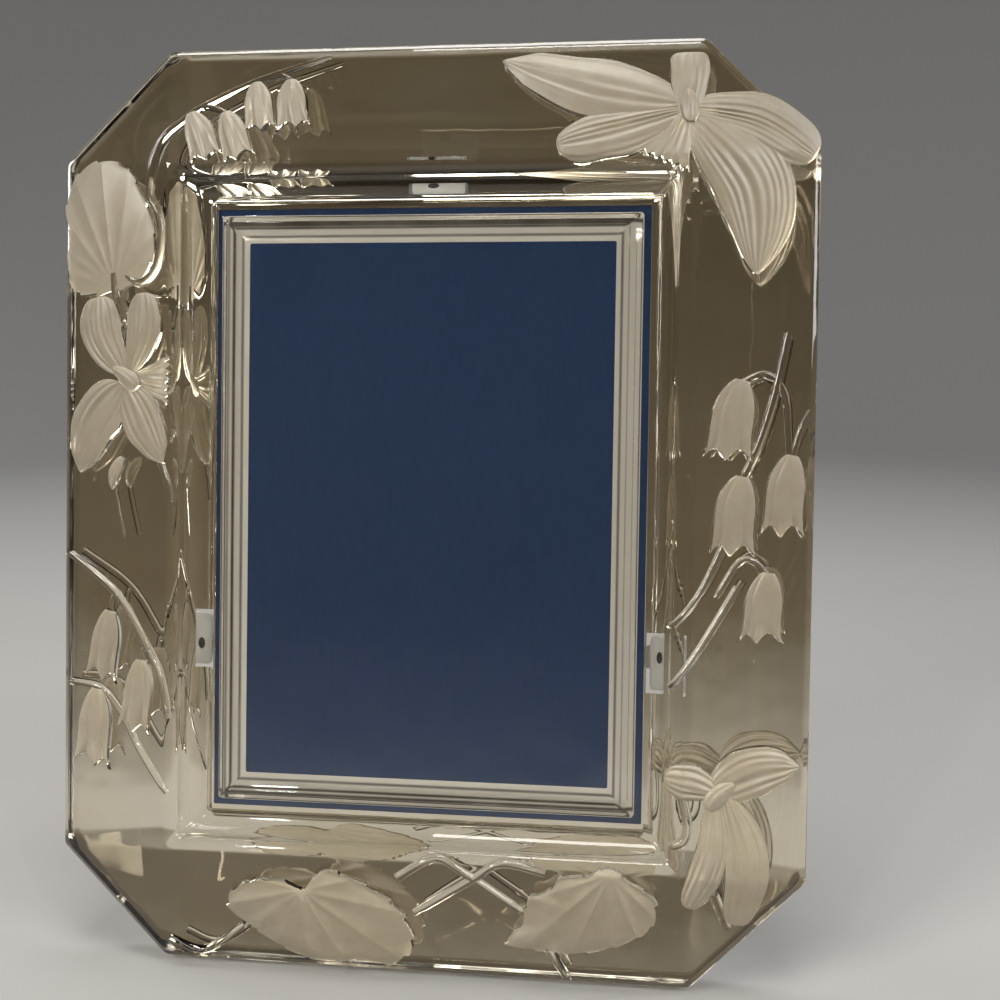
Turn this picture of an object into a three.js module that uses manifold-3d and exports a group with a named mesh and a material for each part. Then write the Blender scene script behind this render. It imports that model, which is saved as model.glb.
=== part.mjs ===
// Crystal picture frame: an octagonal slab of pressed glass with a frosted flower relief round a stepped
// window, a velvet-covered board held in the back by three turn clips, and a hinged easel leg.
// Millimetres. The frame is drawn flat, x right, y up, z out of its face with the glass back at z = 0,
// then leaned back so that it stands on its lower back edge and on the foot of the leg.
import * as THREE from 'three';
import { mergeVertices } from 'three/addons/utils/BufferGeometryUtils.js';
import Module from 'manifold-3d';

const wasm = await Module();
wasm.setup();

// Glass outline and its front profile, as heights over the back and insets from the outline.
const frameWidth = 184;
const frameHeight = 225;
const cornerCut = 27;
const backArris = 0.6;
const wallHeight = 7;
const wallDraft = 0.4;
const lipInset = 2;
const lipHeight = 8.5;
const crestInset = 30;
const crestHeight = 16;
const beadWidth = 3;
const beadDrop = 2;
const channelInset = 38.5;
const channelHeight = 8;
const ridgeInset = 41;
const ridgeHeight = 10.6;
const ridgeOuter = 1.7;
const ridgeTop = 1.1;
const ridgeInner = 3.4;
const windowHeight = 8.4;

// Relief on the border: rise over the glass, height of the sunk roots, share of the rise left at a margin,
// depth of the pleats in a petal and of the folds in a bell.
const reliefRise = 2.6;
const rootHeight = 5.5;
const marginShare = 0.6;
const pleatDepth = 0.35;
const foldDepth = 0.75;
const overhangFall = 0.35;

// Back: pocket, liner, board and its cover. The pocket takes a 102 x 152 mm print.
const pocketWidth = 107;
const pocketHeight = 155;
const pocketDepth = 4.6;
const pocketCorner = 2;
const boardPlay = 0.5;
const layerGap = 0.1;
const linerThickness = 0.6;
const boardThickness = 3.8;
const velvet = 0.8;

// Turn clips.
const clipDrop = -34;
const padLength = 13;
const padWidth = 8;
const padThickness = 0.8;
const tabLength = 13;
const tabWidth = 6.4;
const tabThickness = 1.7;
const tabHeel = 3.2;
const pivotRadius = 1.4;
const pivotHead = 2.6;
const clipGap = 0.1;

// Easel leg and hinge.
const lean = THREE.MathUtils.degToRad(11);
const legSpread = THREE.MathUtils.degToRad(22);
const hingeRise = 150;
const legHeadWidth = 38;
const legFootWidth = 58;
const legThickness = 4.4;
const legGap = 0.3;
const leafWidth = 24;
const leafThickness = 0.8;
const boardLeafReach = 17;
const legLeafReach = 22;
const knuckleRadius = 2.2;
const knuckleSide = 6;
const knuckleGap = 0.3;
const pinRadius = 1;
const rivetRadius = 1.3;
const rivetHead = 2.6;
const rivetHeadHeight = 0.8;
const rivetSpacing = 14;

const halfWidth = frameWidth / 2;
const halfHeight = frameHeight / 2;

const glass = { color: 0xd9d6cb, roughness: 0.05, metalness: 0 };
const navyPaper = { color: 0x23324b, roughness: 0.75, metalness: 0 };
const navyVelvet = { color: 0x1d2940, roughness: 0.95, metalness: 0 };
const greyBoard = { color: 0x8d8678, roughness: 0.9, metalness: 0 };
const paleBrass = { color: 0xb79a5b, roughness: 0.35, metalness: 1 };
const palePlastic = { color: 0xd9dcd8, roughness: 0.35, metalness: 0 };
const darkSteel = { color: 0x4a4a4c, roughness: 0.4, metalness: 1 };

// A closed solid from a geometry: corners welded, collapsed triangles left out.
function solid(geometry) {
  const bare = new THREE.BufferGeometry();
  bare.setAttribute('position', geometry.getAttribute('position').clone());
  if (geometry.index) bare.setIndex(geometry.index.clone());
  const welded = mergeVertices(bare, 1e-3);
  const corners = welded.index.array;
  const kept = [];
  for (let i = 0; i < corners.length; i += 3) {
    const [a, b, c] = [corners[i], corners[i + 1], corners[i + 2]];
    if (a !== b && b !== c && c !== a) kept.push(a, b, c);
  }
  const vertProperties = new Float32Array(welded.getAttribute('position').array);
  return new wasm.Manifold(new wasm.Mesh({ numProp: 3, vertProperties, triVerts: new Uint32Array(kept) }));
}

function mesh(name, body, look) {
  const { vertProperties, triVerts } = body.simplify(0.02).getMesh();
  const geometry = new THREE.BufferGeometry();
  geometry.setAttribute('position', new THREE.BufferAttribute(new Float32Array(vertProperties), 3));
  geometry.setIndex(new THREE.BufferAttribute(new Uint32Array(triVerts), 1));
  const made = new THREE.Mesh(geometry, new THREE.MeshStandardMaterial(look));
  made.name = name;
  return made;
}

function placed(geometry, x, y, z) {
  return solid(geometry.translate(x, y, z));
}

// A flat plate: a plan shape between two heights.
function plate(shape, low, high, segments = 6) {
  const options = { depth: high - low, bevelEnabled: false, curveSegments: segments };
  return placed(new THREE.ExtrudeGeometry(shape, options), 0, 0, low);
}

// A round bar along z.
function bar(radius, x, y, low, high, segments = 16) {
  const geometry = new THREE.CylinderGeometry(radius, radius, high - low, segments);
  return placed(geometry.rotateX(Math.PI / 2), x, y, (low + high) / 2);
}

// A round bar along x, centred on the hinge axis.
function barrel(radius, from, to, segments = 16) {
  const geometry = new THREE.CylinderGeometry(radius, radius, to - from, segments);
  return placed(geometry.rotateZ(Math.PI / 2), (from + to) / 2, 0, 0);
}

function block(x0, x1, y0, y1, z0, z1) {
  const geometry = new THREE.BoxGeometry(x1 - x0, y1 - y0, z1 - z0);
  return placed(geometry, (x0 + x1) / 2, (y0 + y1) / 2, (z0 + z1) / 2);
}

// A rounded four-sided plan, which may taper from one end to the other.
function roundedPlan(lowWidth, highWidth, y0, y1, radius) {
  const shape = new THREE.Shape();
  const a = lowWidth / 2;
  const b = highWidth / 2;
  const lowEdge = a + ((b - a) * radius) / (y1 - y0);
  const highEdge = b - ((b - a) * radius) / (y1 - y0);
  shape.moveTo(-a + radius, y0);
  shape.lineTo(a - radius, y0);
  shape.quadraticCurveTo(a, y0, lowEdge, y0 + radius);
  shape.lineTo(highEdge, y1 - radius);
  shape.quadraticCurveTo(b, y1, b - radius, y1);
  shape.lineTo(-b + radius, y1);
  shape.quadraticCurveTo(-b, y1, -highEdge, y1 - radius);
  shape.lineTo(-lowEdge, y0 + radius);
  shape.quadraticCurveTo(-a, y0, -a + radius, y0);
  return shape;
}

// The eight corners of the outline moved in by an inset, at a height. From the crest inwards the corner
// cut has run out, so the ring is a rectangle whose corners are doubled.
function ring(inset, height) {
  const x = halfWidth - inset;
  const y = halfHeight - inset;
  const cut = inset < crestInset ? cornerCut - (2 - Math.SQRT2) * inset : 0;
  const quarter = [[x, y - cut], [x - cut, y]];
  const points = [];
  for (const [px, py] of quarter) points.push([px, py, height]);
  for (const [px, py] of [...quarter].reverse()) points.push([-px, py, height]);
  for (const [px, py] of quarter) points.push([-px, -py, height]);
  for (const [px, py] of [...quarter].reverse()) points.push([px, -py, height]);
  return points;
}

// The step from the crest down to the window: rounded bead, hollow cove, channel, ridge, window floor.
function stepProfile() {
  const steps = [[crestInset, crestHeight]];
  const beadSteps = 3;
  for (let i = 1; i <= beadSteps; i += 1) {
    const turn = (i / beadSteps) * (Math.PI / 2);
    const inset = crestInset + beadWidth * Math.sin(turn);
    steps.push([inset, crestHeight - beadDrop * (1 - Math.cos(turn))]);
  }
  const coveTop = crestHeight - beadDrop;
  const coveStart = crestInset + beadWidth;
  const coveSteps = 5;
  for (let i = 1; i <= coveSteps; i += 1) {
    const turn = (i / coveSteps) * (Math.PI / 2);
    const inset = channelInset - (channelInset - coveStart) * Math.cos(turn);
    steps.push([inset, coveTop - (coveTop - channelHeight) * Math.sin(turn)]);
  }
  const ridgeStart = ridgeInset + ridgeOuter;
  const ridgeEnd = ridgeStart + ridgeTop;
  steps.push([ridgeInset, channelHeight]);
  steps.push([ridgeStart, ridgeHeight]);
  steps.push([ridgeEnd, ridgeHeight]);
  steps.push([ridgeEnd + ridgeInner, windowHeight]);
  return steps;
}

const steps = stepProfile();

// Height of the sloping border at a point: four planes and four corner facets that rise to the crest. Past
// the crest it runs on with a slight fall, which is how the petals reach out over the cove.
function border(x, y) {
  const inset = Math.min(halfWidth - Math.abs(x), halfHeight - Math.abs(y));
  const cut = halfWidth + halfHeight - cornerCut - Math.abs(x) - Math.abs(y);
  if (inset > crestInset) return crestHeight - overhangFall * (inset - crestInset);
  const slope = (distance, from, to) => (distance - from) / (to - from);
  const side = slope(inset, lipInset, crestInset);
  const corner = slope(cut, lipInset * Math.SQRT2, 2 * crestInset - cornerCut);
  return Math.max(wallHeight, lipHeight + (crestHeight - lipHeight) * Math.min(side, corner));
}

// Height of the glass front at a point, without the relief.
function front(x, y) {
  const inset = Math.min(halfWidth - Math.abs(x), halfHeight - Math.abs(y));
  if (inset < crestInset) return border(x, y);
  for (let i = 1; i < steps.length; i += 1) {
    const [from, high] = steps[i - 1];
    const [to, low] = steps[i];
    if (inset <= to) return high + ((low - high) * (inset - from)) / (to - from);
  }
  return windowHeight;
}

// A closed skin over rings of points, with a flat cap on the first and the last ring.
function loft(rings) {
  const count = rings[0].length;
  const positions = rings.flat(2);
  const index = [];
  for (let r = 0; r + 1 < rings.length; r += 1) {
    for (let i = 0; i < count; i += 1) {
      const a = r * count + i;
      const b = r * count + ((i + 1) % count);
      index.push(a, b, b + count, a, b + count, a + count);
    }
  }
  const last = (rings.length - 1) * count;
  for (let i = 1; i + 1 < count; i += 1) {
    index.push(0, i + 1, i);
    index.push(last, last + i, last + i + 1);
  }
  const geometry = new THREE.BufferGeometry();
  geometry.setAttribute('position', new THREE.Float32BufferAttribute(positions, 3));
  geometry.setIndex(index);
  return solid(geometry);
}

// Relief. Every motif stands on the front with upright sides and a domed top, its root sunk in the glass.

function curve(points) {
  const path = new THREE.SplineCurve(points.map(([x, y]) => new THREE.Vector2(x, y)));
  return (t) => {
    const at = path.getPoint(t);
    const along = path.getTangent(t);
    return { x: at.x, y: at.y, nx: -along.y, ny: along.x };
  };
}

// Half-width shares along a motif, from its root (0) to its end (1).
const roundTip = (t) => {
  const belly = 0.6;
  if (t < belly) return 0.28 + 0.72 * Math.sin((Math.PI / 2) * (t / belly));
  return Math.sqrt(Math.max(0, 1 - ((t - belly) / (1 - belly)) ** 2));
};
const taperedTip = (t) => {
  const belly = 0.45;
  if (t < belly) return 0.28 + 0.72 * Math.sin((Math.PI / 2) * (t / belly));
  return Math.max(0, Math.cos((Math.PI / 2) * ((t - belly) / (1 - belly)))) ** 0.9;
};
const broadTip = (t) => {
  const belly = 0.7;
  if (t < belly) return 0.42 + 0.58 * Math.sin((Math.PI / 2) * (t / belly));
  return Math.max(0, 1 - ((t - belly) / (1 - belly)) ** 4) ** 0.4;
};
const pointedTip = (t) => (0.2 + 0.8 * Math.sin(Math.PI * t ** 0.8)) * Math.min(1, (1 - t) * 5) ** 0.6;
const fan = (t) => 0.22 + 0.78 * t;
const bellShape = (t) => {
  const shoulder = 0.62 * Math.sin((Math.PI / 2) * Math.min(1, t / 0.5));
  return 0.26 + shoulder - 0.1 * t ** 2 + 0.24 * t ** 6;
};

// A petal, bud or bell: a domed strip along a curved spine. A petal has lengthwise pleats. A bell has two
// folds, which end in the notches between the three points of its mouth.
function petal(spine, halfWide, shape, { scallop = 0, rise = reliefRise } = {}) {
  const lengthSteps = 8;
  const wideSteps = scallop ? 4 : 8;
  const crownReach = shape(1) > 0 ? 0.75 : 0.85;
  const at = curve(spine);
  const top = [];
  const root = [];
  for (let i = 0; i <= lengthSteps; i += 1) {
    const t = i / lengthSteps;
    for (let j = 0; j <= wideSteps; j += 1) {
      const s = (2 * j) / wideSteps - 1;
      const valley = j % 2;
      const bite = 1 - scallop * valley * t ** 3;
      const { x, y, nx, ny } = at(t * bite);
      const side = s * halfWide * shape(t);
      const px = x + nx * side;
      const py = y + ny * side;
      const crown = (1 - s * s) * Math.sin(Math.PI * (0.15 + crownReach * t));
      const dome = marginShare + (1 - marginShare) * crown;
      const groove = scallop ? foldDepth * Math.min(1, 0.15 + t) : pleatDepth * Math.sin(Math.PI * t);
      top.push([px, py, border(px, py) + rise * dome - valley * groove]);
      root.push([px, py, rootHeight]);
    }
  }
  const across = wideSteps + 1;
  const lower = top.length;
  const index = [];
  const quad = (a, b, c, d) => index.push(a, b, c, a, c, d);
  for (let i = 0; i < lengthSteps; i += 1) {
    for (let j = 0; j < wideSteps; j += 1) {
      const a = i * across + j;
      quad(a, a + across, a + across + 1, a + 1);
      quad(lower + a, lower + a + 1, lower + a + across + 1, lower + a + across);
    }
    const left = i * across;
    const right = left + wideSteps;
    quad(left, lower + left, lower + left + across, left + across);
    quad(right, right + across, lower + right + across, lower + right);
  }
  for (let j = 0; j < wideSteps; j += 1) {
    const end = lengthSteps * across + j;
    quad(j, j + 1, lower + j + 1, lower + j);
    quad(end, lower + end, lower + end + 1, end + 1);
  }
  const geometry = new THREE.BufferGeometry();
  geometry.setAttribute('position', new THREE.Float32BufferAttribute([...top, ...root].flat(), 3));
  geometry.setIndex(index);
  return solid(geometry);
}

// A broad leaf inside a closed outline, domed towards its heart.
function leaf(outline, heart, rise = reliefRise) {
  const rimSteps = 32;
  const path = new THREE.CatmullRomCurve3(outline.map(([x, y]) => new THREE.Vector3(x, y, 0)), true);
  const rim = path.getPoints(rimSteps).slice(1).reverse();
  const shrunk = (share) => rim.map(({ x, y }) => [heart[0] + (x - heart[0]) * share, heart[1] + (y - heart[1]) * share]);
  const rings = [shrunk(1).map(([x, y]) => [x, y, rootHeight])];
  for (const share of [1, 0.8, 0.45, 0.05]) {
    const height = rise * (1 - (1 - marginShare) * share ** 3);
    rings.push(shrunk(share).map(([x, y]) => [x, y, border(x, y) + height]));
  }
  return loft(rings);
}

// A stem: a half-round rod lying along the front, on a root sunk in the glass.
function stem(points, radius) {
  const lengthSteps = 4 * (points.length - 1);
  const archSteps = 3;
  const at = curve(points);
  const rings = [];
  for (let i = 0; i <= lengthSteps; i += 1) {
    const { x, y, nx, ny } = at(i / lengthSteps);
    const thick = radius * (i === lengthSteps ? 0.7 : 1);
    const section = [[-thick, rootHeight], [thick, rootHeight]];
    for (let k = 0; k <= archSteps; k += 1) {
      const turn = (Math.PI * k) / archSteps;
      section.push([thick * Math.cos(turn), front(x, y) + thick * (0.3 + 1.1 * Math.sin(turn))]);
    }
    rings.push(section.map(([side, height]) => [x + nx * side, y + ny * side, height]));
  }
  return loft(rings);
}

const bell = (spine, halfWide) => petal(spine, halfWide, bellShape, { scallop: 0.17 });

// Bell buds at the top left.
function topLeftBuds() {
  return [
    bell([[-57, 95], [-54, 89], [-52, 83]], 4.3),
    bell([[-48.5, 95], [-46, 89], [-44, 83]], 4.1),
    bell([[-41.5, 102.5], [-40.5, 96.5], [-39.5, 90]], 4.1),
    bell([[-33, 103], [-32.5, 97], [-31.5, 90.5]], 4.3),
    stem([[-74, 57], [-69, 54.6], [-65, 57.5], [-63.4, 64], [-64, 70.5], [-66.5, 76], [-64.5, 87.5],
      [-57, 95]], 1.2),
    stem([[-62, 90.5], [-55, 96.5], [-48.5, 95]], 0.9),
    stem([[-55, 96.5], [-42, 103], [-24, 109]], 0.9),
    stem([[-41, 103], [-36.5, 104.5], [-33, 103]], 0.8),
  ];
}

// Broad leaf and five-petal flower on the left border.
function leftFlower() {
  const leafEdge = [[-87, 82.5], [-80, 85], [-73, 82.5], [-68.5, 76], [-65, 68], [-65, 60], [-69, 54.5],
    [-76, 52.5], [-83, 51.5], [-88.5, 53], [-90.5, 60], [-90, 67], [-91, 74]];
  return [
    leaf(leafEdge, [-78, 68], 2.2),
    petal([[-73.5, 33], [-79.5, 42], [-80.5, 51.5]], 6.4, roundTip),
    petal([[-71, 33.5], [-68, 42.5], [-68, 52]], 5, roundTip),
    petal([[-70.5, 31.5], [-66, 31.2], [-61, 31]], 6.3, fan, { rise: 1.8 }),
    petal([[-74, 30], [-82, 20.5], [-86, 8.5]], 7, pointedTip),
    petal([[-72.5, 29.5], [-67.5, 20], [-62, 11]], 5.8, pointedTip),
    petal([[-76, 34], [-72, 31.5], [-69, 29]], 2.4, roundTip, { rise: 3.4 }),
    petal([[-73.5, 12.5], [-76, 8.5], [-76.5, 4.5]], 1.7, pointedTip),
    stem([[-76, 57], [-75.5, 51], [-72.5, 45]], 1.5),
    stem([[-76.5, 6], [-75, -1], [-73.5, -7.5]], 0.8),
    stem([[-63.5, 12], [-61.5, 6.5], [-60.5, 1.5]], 0.9),
  ];
}

// Three hanging bells on the lower left border.
function leftBells() {
  return [
    bell([[-77, -25], [-78.5, -33.5], [-80, -42.5]], 4.7),
    bell([[-68, -36.5], [-69, -45.5], [-70.5, -54.5]], 4.7),
    bell([[-80.5, -44.5], [-81.5, -54], [-82.5, -64]], 5.5),
    stem([[-89, -11.5], [-76, -20.5], [-68, -31.5], [-63, -40], [-61, -50.5]], 1.1),
    stem([[-74.5, -21.5], [-76.5, -22], [-77, -26]], 0.8),
    stem([[-65, -36], [-67.5, -34], [-68, -37.5]], 0.8),
    stem([[-89, -43.5], [-80, -44.5], [-74.5, -49.5], [-68, -59.5], [-61, -68.5]], 1),
  ];
}

// Two broad leaves on the lower border and the two stems that cross between them.
function lowerLeaves() {
  const heartEdge = [[-47, -95.5], [-44, -90.5], [-39, -88.6], [-32, -88.6], [-27.5, -90.2], [-22.5, -85.2],
    [-13.5, -87.5], [-6, -92], [-1.5, -98], [-0.5, -105], [-6, -109.8], [-14, -109.2], [-22, -110.2],
    [-30.5, -108.3], [-38.5, -103.5]];
  const sawEdge = [[21, -101.8], [25, -96], [26.5, -89.5], [31, -87.5], [34.5, -83.5], [40.5, -82.8],
    [45.5, -80.5], [52, -84.5], [57, -88.5], [56.5, -95], [52.5, -98.8], [44.5, -102.4], [37, -103.8],
    [29.5, -103.6]];
  return [
    leaf(heartEdge, [-23.5, -98], 2.8),
    leaf(sawEdge, [41.5, -93], 2.8),
    stem([[-62.5, -106.5], [-53.5, -109], [-43, -101.5]], 1.1),
    stem([[31, -102], [36, -110]], 1.2),
    stem([[-4.5, -86.5], [5, -81], [13, -85], [25.5, -93.5]], 1.1),
    stem([[31, -83], [20.5, -81.5], [13.5, -86], [-0.5, -95.5]], 1.1),
  ];
}

// Flower in the lower right corner.
function lowerRightFlower() {
  return [
    petal([[69, -62.5], [79, -58], [89.3, -57]], 6.3, pointedTip),
    petal([[69.5, -64], [69, -78], [64, -90]], 4.2, roundTip),
    petal([[72.5, -64], [77.5, -78], [75.5, -95]], 5.4, roundTip),
    petal([[70, -62.5], [64.5, -60.5], [58, -59.5]], 4.4, roundTip),
    petal([[74, -60.5], [70.5, -63], [68, -66.5]], 2.6, roundTip, { rise: 3.4 }),
    stem([[62, -63], [63.5, -70], [62.5, -74], [59.5, -75.5]], 1.2),
    stem([[70, -87], [73.5, -96]], 1.2),
  ];
}

// Four hanging bells on the right border.
function rightBells() {
  return [
    bell([[74, 32], [72, 23], [71, 13.5]], 5.9),
    bell([[74.5, 10], [73, 1.5], [72.5, -8.5]], 5.6),
    bell([[86, 15], [84.5, 6], [84, -4]], 5.4),
    bell([[81, -12], [80, -20], [79.5, -28.5]], 5.3),
    stem([[84.5, 43], [81.5, 28.5], [78, 17], [74.5, 9]], 1.1),
    stem([[73.5, 31], [79.5, 33.5], [84, 29], [85, 20], [85.5, 14]], 0.9),
    stem([[86, 14], [87.5, 20], [90, 25.5]], 0.8),
    stem([[81, -13], [77.5, -9.5], [74, -10], [69, -18]], 0.9),
    stem([[74, -15.5], [66, -29], [59, -39]], 1),
    stem([[70.5, -6], [65, -17.5], [58.5, -25.5]], 0.9),
  ];
}

// Large flower in the top right corner.
function topRightFlower() {
  return [
    petal([[58.5, 95], [38, 99.5], [17.5, 106.5]], 7.8, pointedTip),
    petal([[59.5, 92.5], [46, 88.2], [31, 85]], 6.2, roundTip),
    petal([[60.5, 93.5], [58, 87], [55.5, 81]], 6.4, fan),
    petal([[61, 93.5], [77, 91.5], [90, 83.5]], 7.2, roundTip),
    petal([[62, 92], [76, 76.5], [77, 56]], 10, taperedTip),
    petal([[60.5, 92], [61, 100], [61, 107.5]], 4.8, broadTip, { rise: 3 }),
    petal([[60.6, 98], [61, 94.5], [61.2, 90]], 2.3, roundTip, { rise: 3.8 }),
  ];
}

function crystalBody() {
  const outside = [[0, backArris], [backArris, 0], [wallHeight, wallDraft], [lipHeight, lipInset]];
  const rings = outside.map(([height, inset]) => ring(inset, height));
  for (const [inset, height] of steps) rings.push(ring(inset, height));
  const slab = loft(rings);
  const pocket = roundedPlan(pocketWidth, pocketWidth, -pocketHeight / 2, pocketHeight / 2, pocketCorner);
  const relief = [
    ...topLeftBuds(), ...leftFlower(), ...leftBells(), ...lowerLeaves(), ...lowerRightFlower(),
    ...rightBells(), ...topRightFlower(),
  ];
  return relief.reduce((body, motif) => body.add(motif), slab).subtract(plate(pocket, -1, pocketDepth));
}

// Board: the liner lies against the glass, the velvet wraps the back and the edges of the board.
const boardWidth = pocketWidth - 2 * boardPlay;
const boardHeight = pocketHeight - 2 * boardPlay;
const linerFront = pocketDepth - layerGap;
const boardFront = linerFront - linerThickness - layerGap;
const boardBack = boardFront - boardThickness;
const velvetBack = boardBack - velvet;

const boardPlan = (trim) => roundedPlan(boardWidth - 2 * trim, boardWidth - 2 * trim,
  -boardHeight / 2 + trim, boardHeight / 2 - trim, pocketCorner);

// Hinge, drawn about its axis with the leg folded flat against the board.
const hingeY = hingeRise - halfHeight;
const legFront = velvetBack - legGap;
const legBack = legFront - legThickness;
const axisZ = legBack - layerGap - leafThickness + knuckleRadius;
const legHead = -(knuckleRadius + 0.8);
const leafSeat = velvetBack - layerGap - axisZ;
const knuckleInner = leafWidth / 2 - knuckleSide;
const rivetRise = 10;
const rivetDrop = 14;

function rivetHoles(x0, y0, low, high) {
  return bar(rivetRadius + 0.05, x0 - rivetSpacing / 2, y0, low, high)
    .add(bar(rivetRadius + 0.05, x0 + rivetSpacing / 2, y0, low, high));
}

function hingeBoardLeaf() {
  const plan = roundedPlan(leafWidth, leafWidth, -knuckleRadius, boardLeafReach, 2);
  let leafBody = plate(plan, leafSeat - leafThickness, leafSeat, 4);
  for (const [from, to] of [[-leafWidth / 2, -knuckleInner], [knuckleInner, leafWidth / 2]]) {
    const cheek = block(from, to, -knuckleRadius, knuckleRadius, 0, leafSeat);
    leafBody = leafBody.add(barrel(knuckleRadius, from, to)).add(cheek);
  }
  return leafBody.subtract(barrel(pinRadius + 0.05, -leafWidth, leafWidth))
    .subtract(rivetHoles(0, rivetRise, leafSeat - 3, leafSeat + 3));
}

// The leg's leaf ends in the middle knuckle, whose heel comes to rest on the board's leaf when the leg is open.
function hingeLegLeaf() {
  const low = legBack - layerGap - leafThickness - axisZ;
  const plan = roundedPlan(leafWidth, leafWidth, -legLeafReach, legHead, 2);
  const reach = knuckleInner - knuckleGap;
  const tongue = block(-reach, reach, legHead - 2, 0, low, low + leafThickness);
  const heelReach = 4.2;
  const heelTop = leafSeat - leafThickness - 0.2;
  const heel = block(-reach, reach, 0, heelReach, heelTop - 1.4, heelTop);
  const heelRoot = block(-reach, reach, -0.5, 1.6, 0, heelTop);
  const openHeel = heel.add(heelRoot).rotate([-THREE.MathUtils.radToDeg(legSpread), 0, 0]);
  return plate(plan, low, low + leafThickness, 4).add(tongue).add(barrel(knuckleRadius, -reach, reach))
    .add(openHeel).subtract(barrel(pinRadius + 0.05, -leafWidth, leafWidth))
    .subtract(rivetHoles(0, -rivetDrop, low - 3, low + 3));
}

// A rivet: domed head behind the leaf, shank through the leaf and the cover into the board.
function rivet(x, y, headFoot, shankEnd) {
  const profile = [[0, -rivetHeadHeight], [rivetHead * 0.6, -rivetHeadHeight * 0.75], [rivetHead, -0.05],
    [rivetHead, 0], [rivetRadius, 0], [rivetRadius, shankEnd - headFoot], [0, shankEnd - headFoot]];
  const turned = new THREE.LatheGeometry(profile.map(([r, h]) => new THREE.Vector2(r, h)), 14);
  return placed(turned.rotateX(Math.PI / 2), x, y, headFoot);
}

// Height over the table falls along the leg; this is where a line along the leg at depth z meets it.
const standing = legSpread - lean;
const tableRise = backArris * Math.sin(lean);
function footY(z) {
  const axisRise = hingeRise * Math.cos(lean) + axisZ * Math.sin(lean) - tableRise;
  return -(axisRise - z * Math.sin(standing)) / Math.cos(standing);
}

function underTable() {
  const deep = 40;
  const geometry = new THREE.BoxGeometry(3 * legFootWidth, deep, deep).translate(0, -deep / 2, 0);
  return placed(geometry.rotateX(-standing), 0, footY(0), 0);
}

function legSolid(trim, headTrim) {
  const low = footY(0) - 6;
  const plan = roundedPlan(legFootWidth - 2 * trim, legHeadWidth - 2 * trim, low, legHead - headTrim, 3);
  const back = legBack - axisZ;
  return plate(plan, back + trim, back + legThickness - trim).subtract(underTable());
}

// A turn clip, drawn about its pivot with the tab pointing along -y over the edge of the board.
const padBack = -layerGap - padThickness;
const tabBack = padBack - clipGap - tabThickness;

function clipPad() {
  const shift = padLength * 0.1;
  const plan = roundedPlan(padLength, padLength, -padWidth / 2, padWidth / 2, 1.5);
  return plate(plan, padBack, -layerGap, 3).translate([shift, 0, 0])
    .subtract(bar(pivotRadius + 0.05, 0, 0, -9, 1));
}

function clipTab() {
  const plan = roundedPlan(tabWidth - 1.6, tabWidth, tabHeel - tabLength, tabHeel, 2);
  const toe = block(-tabWidth, tabWidth, -tabLength, tabHeel - tabLength + 2, tabBack - 1, tabBack + 0.5);
  return plate(plan, tabBack, tabBack + tabThickness, 4).subtract(toe)
    .subtract(bar(pivotRadius + 0.05, 0, 0, -9, 1));
}

function clipPivot() {
  const foot = tabBack - 0.1;
  const profile = [[0, -0.9], [pivotHead * 0.7, -0.7], [pivotHead, -0.2], [pivotHead, 0], [pivotRadius, 0],
    [pivotRadius, -layerGap - 0.1 - foot], [0, -layerGap - 0.1 - foot]];
  const turned = new THREE.LatheGeometry(profile.map(([r, h]) => new THREE.Vector2(r, h)), 14);
  return placed(turned.rotateX(Math.PI / 2), 0, 0, foot);
}

function clip(side, x, y, turn) {
  const group = new THREE.Group();
  group.position.set(x, y, 0);
  group.rotation.z = turn;
  group.add(mesh(`clip_pad_${side}`, clipPad(), palePlastic));
  group.add(mesh(`clip_tab_${side}`, clipTab(), palePlastic));
  group.add(mesh(`clip_pivot_${side}`, clipPivot(), darkSteel));
  return group;
}

const leaning = new THREE.Group();
leaning.rotation.x = Math.PI / 2 - lean;

const linerPlan = roundedPlan(boardWidth, boardWidth, -boardHeight / 2, boardHeight / 2, pocketCorner);
const boardHoles = rivetHoles(0, hingeY + rivetRise, velvetBack - 1, boardBack + 2.2);
const boardCore = plate(boardPlan(velvet + 0.05), boardBack + 0.05, boardFront);
const boardCover = plate(boardPlan(0), velvetBack, boardFront).subtract(
  plate(boardPlan(velvet), boardBack, boardFront + 1));

leaning.add(mesh('crystal_body', crystalBody(), glass));
leaning.add(mesh('front_liner', plate(linerPlan, linerFront - linerThickness, linerFront), navyPaper));
leaning.add(mesh('backing_board', boardCore.subtract(boardHoles), greyBoard));
leaning.add(mesh('board_velvet', boardCover.subtract(boardHoles), navyVelvet));

const clipReach = padWidth / 2 + 1.5;
leaning.add(clip('top', 0, pocketHeight / 2 + clipReach, 0));
leaning.add(clip('left', -pocketWidth / 2 - clipReach, clipDrop, Math.PI / 2));
leaning.add(clip('right', pocketWidth / 2 + clipReach, clipDrop, -Math.PI / 2));

const hinge = new THREE.Group();
hinge.position.set(0, hingeY, axisZ);
hinge.add(mesh('hinge_board_leaf', hingeBoardLeaf(), paleBrass));
hinge.add(mesh('hinge_pin', barrel(pinRadius, -leafWidth / 2 - 0.6, leafWidth / 2 + 0.6, 12), paleBrass));
const boardRivet = (x) => rivet(x, rivetRise, leafSeat - leafThickness - 0.05, leafSeat + velvet + 2);
hinge.add(mesh('board_rivet_left', boardRivet(-rivetSpacing / 2), paleBrass));
hinge.add(mesh('board_rivet_right', boardRivet(rivetSpacing / 2), paleBrass));
leaning.add(hinge);

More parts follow.
